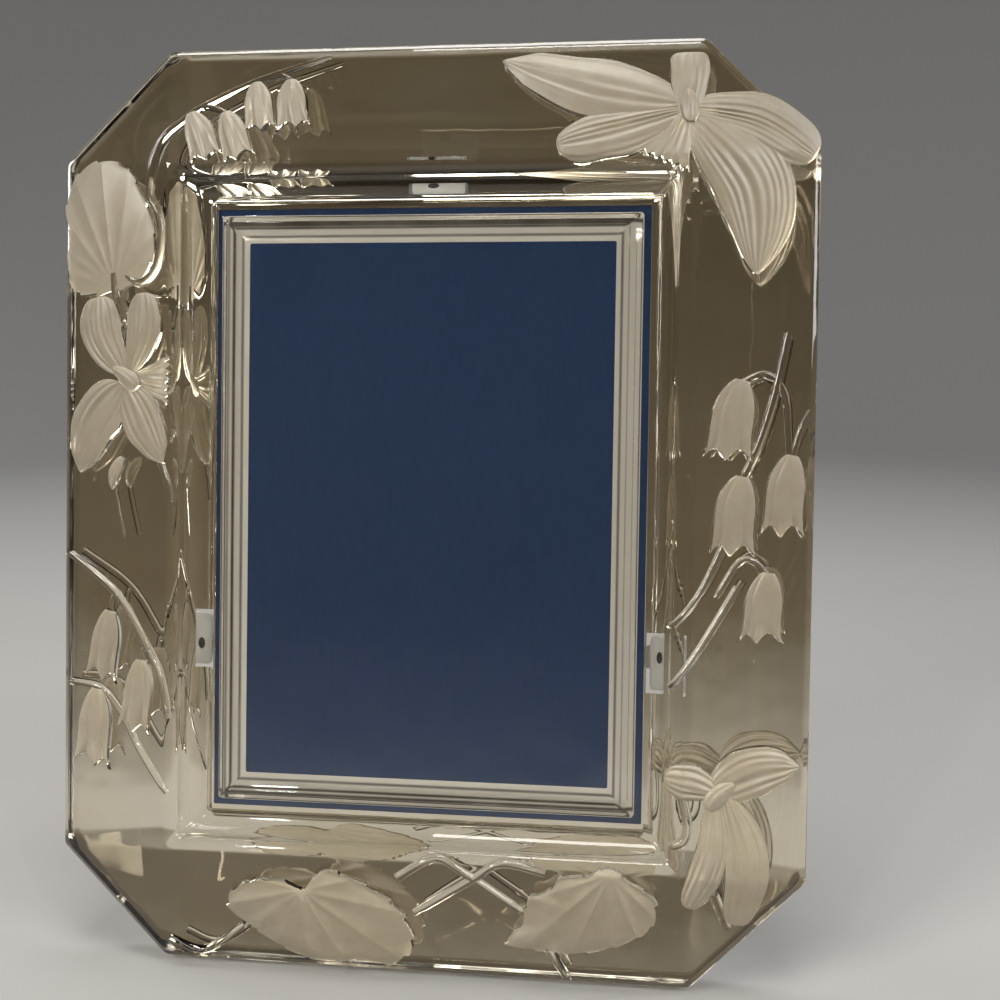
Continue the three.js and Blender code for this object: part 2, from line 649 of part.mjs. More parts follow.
const leg = new THREE.Group();
leg.position.copy(hinge.position);
leg.rotation.x = legSpread;
const legRear = legBack - axisZ;
const legHoles = rivetHoles(0, -rivetDrop, legRear - 1, legRear + 3);
const legCover = legSolid(0, 0).subtract(legSolid(velvet, velvet));
leg.add(mesh('easel_leg', legSolid(velvet + 0.05, velvet + 0.05).subtract(legHoles), greyBoard));
leg.add(mesh('leg_velvet', legCover.subtract(legHoles), navyVelvet));
leg.add(mesh('hinge_leg_leaf', hingeLegLeaf(), paleBrass));
const legRivet = (x) => rivet(x, -rivetDrop, legRear - layerGap - leafThickness - 0.05, legRear + 2.6);
leg.add(mesh('leg_rivet_left', legRivet(-rivetSpacing / 2), paleBrass));
leg.add(mesh('leg_rivet_right', legRivet(rivetSpacing / 2), paleBrass));
leaning.add(leg);

// The part's origin is the middle of its footprint, on the table.
const part = new THREE.Group();
part.add(leaning);
part.updateMatrixWorld(true);
const extent = new THREE.Box3().setFromObject(part, true);
leaning.position.set(0, -(extent.min.y + extent.max.y) / 2, -extent.min.z);

export default part;
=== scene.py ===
"""Looks of the crystal picture frame: pressed glass with a frosted flower relief, velvet and brass behind.

Shapes are drawn in millimetres in the frame's own axes (x right, y up along the face, z out of the face,
glass back at z = 0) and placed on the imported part, which leans back on its leg.
"""
import math

import bmesh
import bpy
import numpy as np
from mathutils import Matrix, Vector


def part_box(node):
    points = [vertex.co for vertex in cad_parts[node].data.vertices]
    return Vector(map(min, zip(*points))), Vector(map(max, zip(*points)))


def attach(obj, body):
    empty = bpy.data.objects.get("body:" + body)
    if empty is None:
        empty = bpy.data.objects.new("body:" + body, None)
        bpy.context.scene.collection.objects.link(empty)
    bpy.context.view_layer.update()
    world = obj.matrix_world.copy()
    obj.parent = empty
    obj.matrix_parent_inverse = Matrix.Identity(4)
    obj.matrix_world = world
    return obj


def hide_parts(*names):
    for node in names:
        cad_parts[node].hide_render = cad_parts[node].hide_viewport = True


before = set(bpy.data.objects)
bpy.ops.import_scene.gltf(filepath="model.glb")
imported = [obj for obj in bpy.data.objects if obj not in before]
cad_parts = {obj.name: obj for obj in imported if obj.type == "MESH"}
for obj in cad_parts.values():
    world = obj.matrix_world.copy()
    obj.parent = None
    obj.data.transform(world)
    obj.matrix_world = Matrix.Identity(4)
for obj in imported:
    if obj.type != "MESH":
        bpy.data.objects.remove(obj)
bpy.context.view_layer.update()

MM = 0.001
LEAN = math.radians(11)
LEG_SPREAD = math.radians(22)

# Glass outline and front profile.
HALF_WIDTH, HALF_HEIGHT, CORNER_CUT = 92, 112.5, 27
BACK_ARRIS, WALL_HEIGHT, WALL_DRAFT = 0.6, 7, 0.4
LIP_INSET, LIP_HEIGHT = 2, 8.5
CREST_INSET, CREST_HEIGHT = 30, 16
BEAD_WIDTH, BEAD_DROP = 3, 2
CHANNEL_INSET, CHANNEL_HEIGHT = 38.5, 8
RIDGE_INSET, RIDGE_HEIGHT, RIDGE_OUTER, RIDGE_TOP, RIDGE_INNER = 41, 10.6, 1.7, 1.1, 3.4
RIDGE_WIDTH = RIDGE_OUTER + RIDGE_TOP + RIDGE_INNER
WINDOW_HEIGHT = 8.4
POCKET_WIDTH, POCKET_HEIGHT, POCKET_DEPTH, POCKET_CORNER = 107, 155, 4.6, 2

# Relief.
RELIEF_RISE, ROOT_HEIGHT, MARGIN_SHARE, OVERHANG_FALL = 2.6, 5.5, 0.6, 0.35

# Faces of the glass: polished, frosted on the relief, silvered behind the border as far in as an inset,
# and pale satin behind the ridge, striped with painted reflection. The silvering leaves bare glass round the
# clip pads, which are glued on.
CLEAR, FROST, SILVER, SATIN = 0, 1, 2, 3
SILVER_INSET, FOOT_SILVER_INSET = 40, 38.9
BARE_MARGIN, BARE_INNER, BARE_DEPTH = 0.8, 10, 0.02
BARE_OUTER = {"top": 1.3, "left": 2.6, "right": 2.6}

# Back: heights of the layers, clips, leg and hinge.
BOARD_WIDTH, BOARD_HEIGHT, BOARD_FRONT, BOARD_BACK, VELVET = 106, 154, 3.8, 0, 0.8
LINER_MIDDLE = 4.2
PAD_LENGTH, PAD_WIDTH, PAD_FRONT, PAD_BACK, PAD_MIDDLE = 13, 8, -0.1, -0.9, 1.3
TAB_LENGTH, TAB_WIDTH, TAB_TAPER, TAB_FRONT, TAB_BACK, TAB_HEEL = 13, 6.4, 1.6, -1.0, -2.7, 3.2
PIVOT_RADIUS, PIVOT_HEAD = 1.4, 2.6
CLIPS = {"top": (0, 83, 0), "left": (-59, -34, 90), "right": (59, -34, -90)}
HINGE_Y, AXIS_Z = 37.5, -4.2
LEAF_WIDTH, LEAF_THICKNESS, LEAF_SEAT, LEAF_CORNER = 24, 0.8, 3.3, 2
KNUCKLE_RADIUS, KNUCKLE_SIDE, KNUCKLE_GAP, PIN_RADIUS = 2.2, 6, 0.3, 1
BOARD_LEAF_REACH, LEG_LEAF_REACH, LEG_HEAD = 17, 22, -3
RIVET_RISE, RIVET_DROP, RIVET_SPACING, RIVET_RADIUS, RIVET_HEAD = 10, 14, 14, 1.3, 2.6
LEG_HEAD_WIDTH, LEG_FOOT_WIDTH, LEG_FRONT, LEG_BACK, LEG_CORNER = 38, 58, 3.1, -1.3, 3
HINGE_RISE, STANDING = 150, LEG_SPREAD - LEAN

tilt = Matrix.Rotation(math.pi / 2 - LEAN, 4, "X")
face_out = tilt.to_3x3() @ Vector((0, 0, 1))
liner_low, liner_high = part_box("front_liner")
glass_origin = (liner_low + liner_high) / 2 - face_out * (LINER_MIDDLE * MM)
PLACE = Matrix.Translation(glass_origin) @ tilt @ Matrix.Scale(MM, 4)
HINGE = PLACE @ Matrix.Translation((0, HINGE_Y, AXIS_Z))
LEG = HINGE @ Matrix.Rotation(LEG_SPREAD, 4, "X")


# Mesh helpers.

def piece(name, points, faces, place=PLACE, kinds=None):
    """A closed mesh object from points in millimetres, welded, with its faces turned outwards."""
    turn = np.array(place)
    world = np.asarray(points, float) @ turn[:3, :3].T + turn[:3, 3]
    data = bpy.data.meshes.new(name)
    data.from_pydata(world.tolist(), [], [list(map(int, f)) for f in faces])
    if kinds is not None:
        data.polygons.foreach_set("material_index", np.asarray(kinds, np.int32))
    made = bmesh.new()
    made.from_mesh(data)
    bmesh.ops.remove_doubles(made, verts=made.verts, dist=2e-6)
    bmesh.ops.dissolve_degenerate(made, edges=made.edges, dist=1e-7)
    bmesh.ops.recalc_face_normals(made, faces=made.faces)
    made.to_mesh(data)
    made.free()
    item = bpy.data.objects.new(name, data)
    bpy.context.scene.collection.objects.link(item)
    return item


def settle(item):
    """Applies an object's modifiers to its mesh."""
    bpy.context.view_layer.update()
    done = item.evaluated_get(bpy.context.evaluated_depsgraph_get())
    data = bpy.data.meshes.new_from_object(done)
    old = item.data
    item.modifiers.clear()
    item.data = data
    data.name = item.name
    bpy.data.meshes.remove(old)
    return item


def combine(item, others, operation):
    """Adds other closed meshes to a closed mesh, or cuts them out of it, and removes them."""
    group = bpy.data.collections.new("operands")
    for other in others:
        group.objects.link(other)
    step = item.modifiers.new("step", "BOOLEAN")
    step.operation = operation
    step.solver = "MANIFOLD"
    step.operand_type = "COLLECTION"
    step.collection = group
    settle(item)
    for other in others:
        bpy.data.meshes.remove(other.data)
    bpy.data.collections.remove(group)
    return item


def soften(item, width, segments=2, angle=30):
    """Rounds an object's sharp edges."""
    bevel = item.modifiers.new("arris", "BEVEL")
    bevel.width = width * MM
    bevel.segments = segments
    bevel.limit_method = "ANGLE"
    bevel.angle_limit = math.radians(angle)
    bevel.use_clamp_overlap = True
    return settle(item)


def smooth(item, angle=35, weighted=False):
    item.data.shade_smooth()
    item.data.set_sharp_from_angle(angle=math.radians(angle))
    if weighted:
        lay = item.modifiers.new("normals", "WEIGHTED_NORMAL")
        lay.keep_sharp = True
        lay.weight = 100
    return item


def loft(name, rings, place=PLACE, kinds=None, top_kind=None):
    """A closed skin over rings of points, with a cap on the first and the last ring."""
    rings = np.asarray(rings, float)
    rows, count = rings.shape[:2]
    index = np.arange(rows * count).reshape(rows, count)
    after = np.roll(index, -1, 1)
    sides = np.stack([index[:-1], after[:-1], after[1:], index[1:]], -1).reshape(-1, 4)
    faces = [*sides.tolist(), index[0][::-1].tolist(), index[-1].tolist()]
    looks = None
    if kinds is not None:
        last = kinds[-1] if top_kind is None else top_kind
        looks = [*np.repeat(kinds, count).tolist(), CLEAR, last]
    return piece(name, rings.reshape(-1, 3), faces, place, looks)


def lathe(name, profile, place, segments=40):
    """A turned solid about z from (radius, height) pairs that start and end on the axis."""
    turns = np.linspace(0, 2 * math.pi, segments, endpoint=False)
    rings = [[(r * math.cos(a), r * math.sin(a), h) for a in turns] for r, h in profile]
    return loft(name, rings, place)


def rounded_corners(corners, radius, steps):
    """A polygon with each corner replaced by a short curve of steps + 1 points."""
    made = []
    count = len(corners)
    for i, corner in enumerate(np.asarray(corners, float)):
        before = np.asarray(corners[i - 1], float) - corner
        behind = np.asarray(corners[(i + 1) % count], float) - corner
        reach = min(radius, 0.49 * np.linalg.norm(before), 0.49 * np.linalg.norm(behind))
        start = corner + before * (reach / max(np.linalg.norm(before), 1e-9))
        end = corner + behind * (reach / max(np.linalg.norm(behind), 1e-9))
        for share in np.linspace(0, 1, steps + 1):
            made.append((1 - share) ** 2 * start + 2 * share * (1 - share) * corner + share ** 2 * end)
    return np.array(made)


def rounded_path(path, radii, steps=3):
    """An open path with some of its corners rounded; radii maps a corner's number to its radius."""
    made = []
    for i, corner in enumerate(np.asarray(path, float)):
        if i not in radii:
            made.append(corner)
            continue
        before = np.asarray(path[i - 1], float) - corner
        behind = np.asarray(path[i + 1], float) - corner
        start = corner + before / np.linalg.norm(before) * min(radii[i], 0.45 * np.linalg.norm(before))
        end = corner + behind / np.linalg.norm(behind) * min(radii[i], 0.45 * np.linalg.norm(behind))
        for share in np.linspace(0, 1, steps + 1):
            made.append((1 - share) ** 2 * start + 2 * share * (1 - share) * corner + share ** 2 * end)
    return np.array(made)


def rounded_plan(low_width, high_width, y0, y1, radius, steps=6):
    a, b = low_width / 2, high_width / 2
    return rounded_corners([(-a, y0), (a, y0), (b, y1), (-b, y1)], radius, steps)


def plate(name, plan, low, high, place=PLACE):
    rings = [[(x, y, z) for x, y in plan] for z in (low, high)]
    return loft(name, rings, place)


def block(name, x0, x1, y0, y1, z0, z1, place=PLACE):
    return plate(name, [(x0, y0), (x1, y0), (x1, y1), (x0, y1)], z0, z1, place)


def barrel(name, radius, x0, x1, place, segments=40):
    turn = place @ Matrix.Rotation(math.pi / 2, 4, "Y")
    return lathe(name, [(radius, x0), (radius, x1)], turn, segments)


def clip_place(side):
    x, y, turn = CLIPS[side]
    return PLACE @ Matrix.Translation((x, y, 0)) @ Matrix.Rotation(math.radians(turn), 4, "Z")


# Glass body.

def step_profile():
    """Inset and height from the crest down to the window: bead, cove, channel, ridge, window floor."""
    turn = np.linspace(0, math.pi / 2, 9)
    bead = [(CREST_INSET + BEAD_WIDTH * math.sin(a),
             CREST_HEIGHT - BEAD_DROP * (1 - math.cos(a))) for a in turn]
    cove_start, cove_top = CREST_INSET + BEAD_WIDTH, CREST_HEIGHT - BEAD_DROP
    turn = np.linspace(0, math.pi / 2, 15)[1:]
    cove = [(CHANNEL_INSET - (CHANNEL_INSET - cove_start) * math.cos(a),
             cove_top - (cove_top - CHANNEL_HEIGHT) * math.sin(a)) for a in turn]
    ridge_top = RIDGE_INSET + RIDGE_OUTER
    ridge = [(RIDGE_INSET, CHANNEL_HEIGHT), (ridge_top, RIDGE_HEIGHT), (ridge_top + RIDGE_TOP, RIDGE_HEIGHT),
             (ridge_top + RIDGE_TOP + RIDGE_INNER, WINDOW_HEIGHT)]
    return bead, cove, ridge


BEAD, COVE, RIDGE = step_profile()
STEPS = np.array(BEAD + COVE + RIDGE)


def insets(plan):
    x, y = np.abs(plan[..., 0]), np.abs(plan[..., 1])
    return np.minimum(HALF_WIDTH - x, HALF_HEIGHT - y), HALF_WIDTH + HALF_HEIGHT - CORNER_CUT - x - y


def border(plan):
    """Height of the sloping border, which runs on past the crest with a slight fall."""
    inset, cut = insets(plan)
    side = (inset - LIP_INSET) / (CREST_INSET - LIP_INSET)
    corner_start = LIP_INSET * math.sqrt(2)
    corner = (cut - corner_start) / (2 * CREST_INSET - CORNER_CUT - corner_start)
    slope = LIP_HEIGHT + (CREST_HEIGHT - LIP_HEIGHT) * np.minimum(side, corner)
    past = CREST_HEIGHT - OVERHANG_FALL * (inset - CREST_INSET)
    return np.where(inset > CREST_INSET, past, np.maximum(WALL_HEIGHT, slope))


def front(plan):
    """Height of the glass front without the relief."""
    inset, _ = insets(plan)
    return np.where(inset < CREST_INSET, border(plan), np.interp(inset, STEPS[:, 0], STEPS[:, 1]))


def glass_ring(inset, height, soft):
    """The outline moved in by an inset: an octagon up to the crest and a rectangle from there on."""
    arc = 5
    x, y = HALF_WIDTH - inset, HALF_HEIGHT - inset
    if inset <= LIP_INSET:
        leg = CORNER_CUT - (2 - math.sqrt(2)) * inset
    else:
        start = LIP_INSET * math.sqrt(2)
        rise = (height - LIP_HEIGHT) / (CREST_HEIGHT - LIP_HEIGHT)
        leg = CORNER_CUT + start + rise * (2 * CREST_INSET - CORNER_CUT - start) - 2 * inset
    if inset < CREST_INSET - 0.01 and leg > 0.01:
        corners = [(x, y - leg), (x - leg, y), (leg - x, y), (-x, y - leg),
                   (-x, leg - y), (leg - x, -y), (x - leg, -y), (x, leg - y)]
        plan = rounded_corners(corners, soft, arc)
    else:
        plan = rounded_corners([(x, y), (-x, y), (-x, -y), (x, -y)], soft, 2 * arc + 1)
    return [(px, py, height) for px, py in plan]


def glass_slab():
    outside = [(BACK_ARRIS, 0), (0, BACK_ARRIS), (WALL_DRAFT, WALL_HEIGHT), (LIP_INSET, LIP_HEIGHT)]
    path = outside + BEAD + COVE + RIDGE
    first_ridge = len(path) - len(RIDGE)
    radii = {1: 0.3, 2: 0.5, 3: 0.6, 4: 0.9}
    radii.update({first_ridge + i: 0.35 for i in range(3)})
    rings = [glass_ring(SILVER_INSET, 0, 0.7)]
    corner_insets = [0, LIP_INSET, CREST_INSET, CHANNEL_INSET, RIDGE_INSET]
    for inset, height in rounded_path(path, radii):
        soft = np.interp(inset, corner_insets, [1.2, 1.6, 2.2, 1.0, 0.7])
        rings.append(glass_ring(inset, height, soft))
    return loft("crystal", rings, kinds=[SILVER] + [CLEAR] * (len(rings) - 2))


# Relief motifs.

def spline(points):
    """A smooth open curve: gives places and the unit normal to its left."""
    spots = np.array(points, float)
    last = len(spots) - 1

    def at(t):
        p = np.clip(t, 0, 1) * last
        i = np.minimum(p.astype(int), last - 1)
        w = (p - i)[..., None]
        p0, p1 = spots[np.maximum(i - 1, 0)], spots[i]
        p2, p3 = spots[i + 1], spots[np.minimum(i + 2, last)]
        v0, v1 = (p2 - p0) / 2, (p3 - p1) / 2
        cubic, square = 2 * p1 - 2 * p2 + v0 + v1, 3 * p2 - 3 * p1 - 2 * v0 - v1
        spot = ((cubic * w + square) * w + v0) * w + p1
        along = (3 * cubic * w + 2 * square) * w + v0
        along = along / np.linalg.norm(along, axis=-1, keepdims=True)
        return spot, np.stack([-along[..., 1], along[..., 0]], -1)

    return at


def closed_curve(points, count):
    """A smooth closed curve through points, spaced by the root of their distances."""
    spots = np.array(points, float)
    made = []
    total = len(spots)
    for p in np.linspace(0, total, count, endpoint=False):
        i = int(p)
        w = p - i
        p0, p1, p2, p3 = (spots[(i + k) % total] for k in (-1, 0, 1, 2))
        d0, d1, d2 = (np.linalg.norm(b - a) ** 0.5 for a, b in ((p0, p1), (p1, p2), (p2, p3)))
        t1 = ((p1 - p0) / d0 - (p2 - p0) / (d0 + d1) + (p2 - p1) / d1) * d1
        t2 = ((p2 - p1) / d1 - (p3 - p1) / (d1 + d2) + (p3 - p2) / d2) * d1
        square, cubic = 3 * p2 - 3 * p1 - 2 * t1 - t2, 2 * p1 - 2 * p2 + t1 + t2
        made.append(p1 + t1 * w + square * w ** 2 + cubic * w ** 3)
    return np.array(made)


def round_tip(t):
    belly = 0.6
    rising = 0.28 + 0.72 * np.sin(np.pi / 2 * np.minimum(t / belly, 1))
    return np.where(t < belly, rising, np.sqrt(np.clip(1 - ((t - belly) / (1 - belly)) ** 2, 0, None)))


def pointed_tip(t):
    return (0.2 + 0.8 * np.sin(np.pi * t ** 0.8)) * np.minimum(1, (1 - t) * 5) ** 0.6


def fan(t):
    return 0.22 + 0.78 * t


def tapered_tip(t):
    belly = 0.45
    rising = 0.28 + 0.72 * np.sin(np.pi / 2 * np.minimum(t / belly, 1))
    return np.where(t < belly, rising, np.clip(np.cos(np.pi / 2 * (t - belly) / (1 - belly)), 0, None) ** 0.9)


def broad_tip(t):
    belly = 0.7
    rising = 0.42 + 0.58 * np.sin(np.pi / 2 * np.minimum(t / belly, 1))
    return np.where(t < belly, rising, np.clip(1 - ((t - belly) / (1 - belly)) ** 4, 0, None) ** 0.4)


def bell_shape(t):
    return 0.26 + 0.62 * np.sin(np.pi / 2 * np.minimum(1, t / 0.5)) - 0.1 * t ** 2 + 0.24 * t ** 6


def petal(spine, half_wide, shape, rise=RELIEF_RISE, ribs=7, rib_depth=0.2, ruffle=0.03):
    """A petal, bud or bell: a domed strip along a spine with lengthwise pleats, frosted on top."""
    long_steps, wide_steps = 41, 8 * max(ribs, 5)
    open_end = shape in (fan, bell_shape)
    u = np.linspace(0, 1, long_steps + 1)
    t = np.append(np.linspace(0, 0.97, long_steps), 1) if open_end else 1 - (1 - u) ** 2
    s = np.linspace(-1, 1, wide_steps + 1)
    s = s * (1.35 - 0.35 * s * s)
    tt, ss = np.meshgrid(t, s, indexing="ij")
    own = math.sin(7.1 * spine[0][0] + 3.3 * spine[0][1])
    end = np.where(tt > 0.98, 1, 0) if open_end else np.clip((tt - 0.95) / 0.05, 0, 1) ** 2
    if shape is bell_shape:
        turn = ss + 0.22 * own * (1 - ss ** 2)
        reach = tt * (1 - (0.17 * np.abs(np.sin(np.pi * turn)) + 0.03 * own * ss) * tt ** 3)
        fold = 1 - np.abs(np.cos(np.pi * turn)) ** 0.8 + 0.25 * np.exp(-(turn / 0.09) ** 2)
        rib = -0.75 * fold * np.clip(0.15 + tt, 0, 1)
    else:
        depth = rib_depth * (0.75 + 0.5 * np.sin(5.1 * ss + 4 * own) + 0.25 * np.sin(9 * tt + 7 * ss))
        pleat = 1 - np.cos(np.pi * ribs * (ss + 0.09 * np.sin(4.3 * ss + 5 * own) * (1 - ss ** 2)))
        swell = np.sin(np.pi * np.clip(tt, 0.02, 0.75 if open_end else 1) ** 0.8) ** 0.7 * (1 - ss ** 4)
        reach = tt * (1 - 0.05 * (1 - np.cos(np.pi * ribs * ss)) * tt ** 4 * open_end)
        rib = -np.maximum(depth, 0.02) * pleat * swell
    frill = ruffle * (1 + np.sin(16 * tt + 5 * own + 2 * np.sign(ss)))
    wide = half_wide * shape(tt) * (1 - frill * np.abs(ss) ** 3)
    spot, side = spline(spine)(reach)
    plan = spot + side * (ss * wide)[..., None]
    crown = (1 - MARGIN_SHARE) * (1 - ss ** 2) * np.sin(np.pi * (0.15 + 0.75 * tt))
    dome = MARGIN_SHARE + crown * (1 if open_end else 1 - end)
    shoulder = 0.45 * np.maximum(np.clip((np.abs(ss) - 0.93) / 0.07, 0, 1) ** 2, end)
    top = np.dstack([plan, border(plan) + rise * dome + rib - shoulder])
    root = np.dstack([plan, np.full(plan.shape[:2], ROOT_HEIGHT)])
    rows, cols = top.shape[:2]
    upper = np.arange(rows * cols).reshape(rows, cols)
    below = rows * cols
    quads = np.stack([upper[:-1, :-1], upper[1:, :-1], upper[1:, 1:], upper[:-1, 1:]], -1).reshape(-1, 4)
    rim = np.concatenate([upper[:, 0], upper[-1, 1:], upper[-2::-1, -1], upper[0, -2:0:-1]])
    walls = np.stack([rim, np.roll(rim, -1), np.roll(rim, -1) + below, rim + below], -1)
    frosted = (np.abs(ss[:-1, :-1] + ss[1:, 1:]) / 2 < 0.94) & (tt[1:, 1:] < (0.99 if open_end else 1.01))
    kinds = np.concatenate([np.where(frosted.ravel(), FROST, CLEAR), np.full(len(quads) + len(walls), CLEAR)])
    faces = np.concatenate([quads, quads[:, ::-1] + below, walls])
    return piece("motif", np.concatenate([top.reshape(-1, 3), root.reshape(-1, 3)]), faces, kinds=kinds)


def leaf(outline, heart, base, rise, pleats, vein_depth, tooth, teeth):
    """A broad leaf inside a closed outline, domed towards its heart, with veins that spread from its base."""
    count = 220
    rim = closed_curve(outline, count)[::-1]
    heart, base = np.array(heart, float), np.array(base, float)
    saw = 1 - tooth * (np.arange(count) * teeth / count % 1)
    shares = np.concatenate([[1, 0.985, 0.96], np.linspace(0.92, 0.03, 26)])
    rings = [np.c_[heart + (rim - heart) * saw[:, None], np.full(count, ROOT_HEIGHT)]]
    axis = heart - base
    for share in shares:
        plan = heart + (rim - heart) * (share * (1 + (saw - 1) * share ** 12))[:, None]
        ray = plan - base
        reach = np.linalg.norm(ray, axis=1)
        turn = np.arctan2(axis[0] * ray[:, 1] - axis[1] * ray[:, 0], ray @ axis)
        fade = np.clip(reach / 9, 0, 1) * np.clip((1 - share) / 0.06, 0, 1)
        vein = vein_depth * np.abs(np.sin(pleats * turn / 2)) ** 0.8 * fade
        shoulder = 0.45 if share == 1 else 0
        dome = rise * (1 - (1 - MARGIN_SHARE) * share ** 3)
        rings.append(np.c_[plan, border(plan) + dome - vein - shoulder])
    kinds = [CLEAR, CLEAR] + [FROST] * (len(rings) - 3)
    return loft("motif", rings, kinds=kinds)


def stem(points, radius):
    """A half-round rod of clear glass lying along the front."""
    steps = 12 * (len(points) - 1)
    t = np.linspace(0, 1, steps + 1)
    spot, side = spline(points)(t)
    thick = radius * np.where(t > 0.94, 0.85, 1) * (1 - 0.12 * t)
    lift = front(spot)
    lift[1:-1] = (lift[:-2] + 2 * lift[1:-1] + lift[2:]) / 4
    turn = np.linspace(0, math.pi, 11)
    rings = []
    for at, out, wide, high in zip(spot, side, thick, lift):
        section = [(-wide, ROOT_HEIGHT), (wide, ROOT_HEIGHT)]
        section += [(wide * math.cos(a), high + wide * (0.3 + 1.1 * math.sin(a))) for a in turn]
        rings.append([(*(at + out * offset), height) for offset, height in section])
    return loft("motif", rings)


def bell(spine, half_wide):
    return petal(spine, half_wide, bell_shape, ruffle=0)


def top_left_buds():
    return [
        bell([(-57, 95), (-54, 89), (-52, 83)], 4.3),
        bell([(-48.5, 95), (-46, 89), (-44, 83)], 4.1),
        bell([(-41.5, 102.5), (-40.5, 96.5), (-39.5, 90)], 4.1),
        bell([(-33, 103), (-32.5, 97), (-31.5, 90.5)], 4.3),
        stem([(-74, 57), (-69, 54.6), (-65, 57.5), (-63.4, 64), (-64, 70.5), (-66.5, 76), (-64.5, 87.5),
              (-57, 95)], 1.2),
        stem([(-62, 90.5), (-55, 96.5), (-48.5, 95)], 0.9),
        stem([(-55, 96.5), (-42, 103), (-24, 109)], 0.9),
        stem([(-41, 103), (-36.5, 104.5), (-33, 103)], 0.8),
    ]


def left_flower():
    leaf_edge = [(-87, 82.5), (-80, 85), (-73, 82.5), (-68.5, 76), (-65, 68), (-65, 60), (-69, 54.5),
                 (-76, 52.5), (-83, 51.5), (-88.5, 53), (-90.5, 60), (-90, 67), (-91, 74)]
    return [
        leaf(leaf_edge, (-78, 68), (-76, 53.5), 2.2, pleats=22, vein_depth=0.2, tooth=0.05, teeth=15),
        petal([(-73.5, 33), (-79.5, 42), (-80.5, 51.5)], 6.4, round_tip),
        petal([(-71, 33.5), (-68, 42.5), (-68, 52)], 5, round_tip, ribs=6),
        petal([(-70.5, 31.5), (-66, 31.2), (-61, 31)], 6.3, fan, rise=1.8, ribs=7),
        petal([(-74, 30), (-82, 20.5), (-86, 8.5)], 7, pointed_tip, ribs=6),
        petal([(-72.5, 29.5), (-67.5, 20), (-62, 11)], 5.8, pointed_tip, ribs=6),
        petal([(-76, 34), (-72, 31.5), (-69, 29)], 2.4, round_tip, rise=3.4, ribs=3, rib_depth=0.1),
        petal([(-73.5, 12.5), (-76, 8.5), (-76.5, 4.5)], 1.7, pointed_tip, ribs=3, rib_depth=0.1),
        stem([(-76, 57), (-75.5, 51), (-72.5, 45)], 1.5),
        stem([(-76.5, 6), (-75, -1), (-73.5, -7.5)], 0.8),
        stem([(-63.5, 12), (-61.5, 6.5), (-60.5, 1.5)], 0.9),
    ]


def left_bells():
    return [
        bell([(-77, -25), (-78.5, -33.5), (-80, -42.5)], 4.7),
        bell([(-68, -36.5), (-69, -45.5), (-70.5, -54.5)], 4.7),
        bell([(-80.5, -44.5), (-81.5, -54), (-82.5, -64)], 5.5),
        stem([(-89, -11.5), (-76, -20.5), (-68, -31.5), (-63, -40), (-61, -50.5)], 1.1),
        stem([(-74.5, -21.5), (-76.5, -22), (-77, -26)], 0.8),
        stem([(-65, -36), (-67.5, -34), (-68, -37.5)], 0.8),
        stem([(-89, -43.5), (-80, -44.5), (-74.5, -49.5), (-68, -59.5), (-61, -68.5)], 1),
    ]


def lower_leaves():
    heart_edge = [(-47, -95.5), (-44, -90.5), (-39, -88.6), (-32, -88.6), (-27.5, -90.2), (-22.5, -85.2),
                  (-13.5, -87.5), (-6, -92), (-1.5, -98), (-0.5, -105), (-6, -109.8), (-14, -109.2),
                  (-22, -110.2), (-30.5, -108.3), (-38.5, -103.5)]
    saw_edge = [(21, -101.8), (25, -96), (26.5, -89.5), (31, -87.5), (34.5, -83.5), (40.5, -82.8),
                (45.5, -80.5), (52, -84.5), (57, -88.5), (56.5, -95), (52.5, -98.8), (44.5, -102.4),
                (37, -103.8), (29.5, -103.6)]
    return [
        leaf(heart_edge, (-23.5, -98), (-27.5, -90.5), 2.8, pleats=14, vein_depth=0.34, tooth=0.05, teeth=19),
        leaf(saw_edge, (41.5, -93), (46, -82), 2.8, pleats=16, vein_depth=0.34, tooth=0.06, teeth=17),
        stem([(-62.5, -106.5), (-53.5, -109), (-43, -101.5)], 1.1),
        stem([(31, -102), (36, -110)], 1.2),
        stem([(-4.5, -86.5), (5, -81), (13, -85), (25.5, -93.5)], 1.1),
        stem([(31, -83), (20.5, -81.5), (13.5, -86), (-0.5, -95.5)], 1.1),
    ]


def lower_right_flower():
    return [
        petal([(69, -62.5), (79, -58), (89.3, -57)], 6.3, pointed_tip, ribs=6),
        petal([(69.5, -64), (69, -78), (64, -90)], 4.2, round_tip, ribs=5),
        petal([(72.5, -64), (77.5, -78), (75.5, -95)], 5.4, round_tip, ribs=6),
        petal([(70, -62.5), (64.5, -60.5), (58, -59.5)], 4.4, round_tip, ribs=5),
        petal([(74, -60.5), (70.5, -63), (68, -66.5)], 2.6, round_tip, rise=3.4, ribs=3, rib_depth=0.1),
        stem([(62, -63), (63.5, -70), (62.5, -74), (59.5, -75.5)], 1.2),
        stem([(70, -87), (73.5, -96)], 1.2),
    ]


def right_bells():
    return [
        bell([(74, 32), (72, 23), (71, 13.5)], 5.9),
        bell([(74.5, 10), (73, 1.5), (72.5, -8.5)], 5.6),
        bell([(86, 15), (84.5, 6), (84, -4)], 5.4),
        bell([(81, -12), (80, -20), (79.5, -28.5)], 5.3),
        stem([(84.5, 43), (81.5, 28.5), (78, 17), (74.5, 9)], 1.1),
        stem([(73.5, 31), (79.5, 33.5), (84, 29), (85, 20), (85.5, 14)], 0.9),
        stem([(86, 14), (87.5, 20), (90, 25.5)], 0.8),
        stem([(81, -13), (77.5, -9.5), (74, -10), (69, -18)], 0.9),
        stem([(74, -15.5), (66, -29), (59, -39)], 1),
        stem([(70.5, -6), (65, -17.5), (58.5, -25.5)], 0.9),
    ]


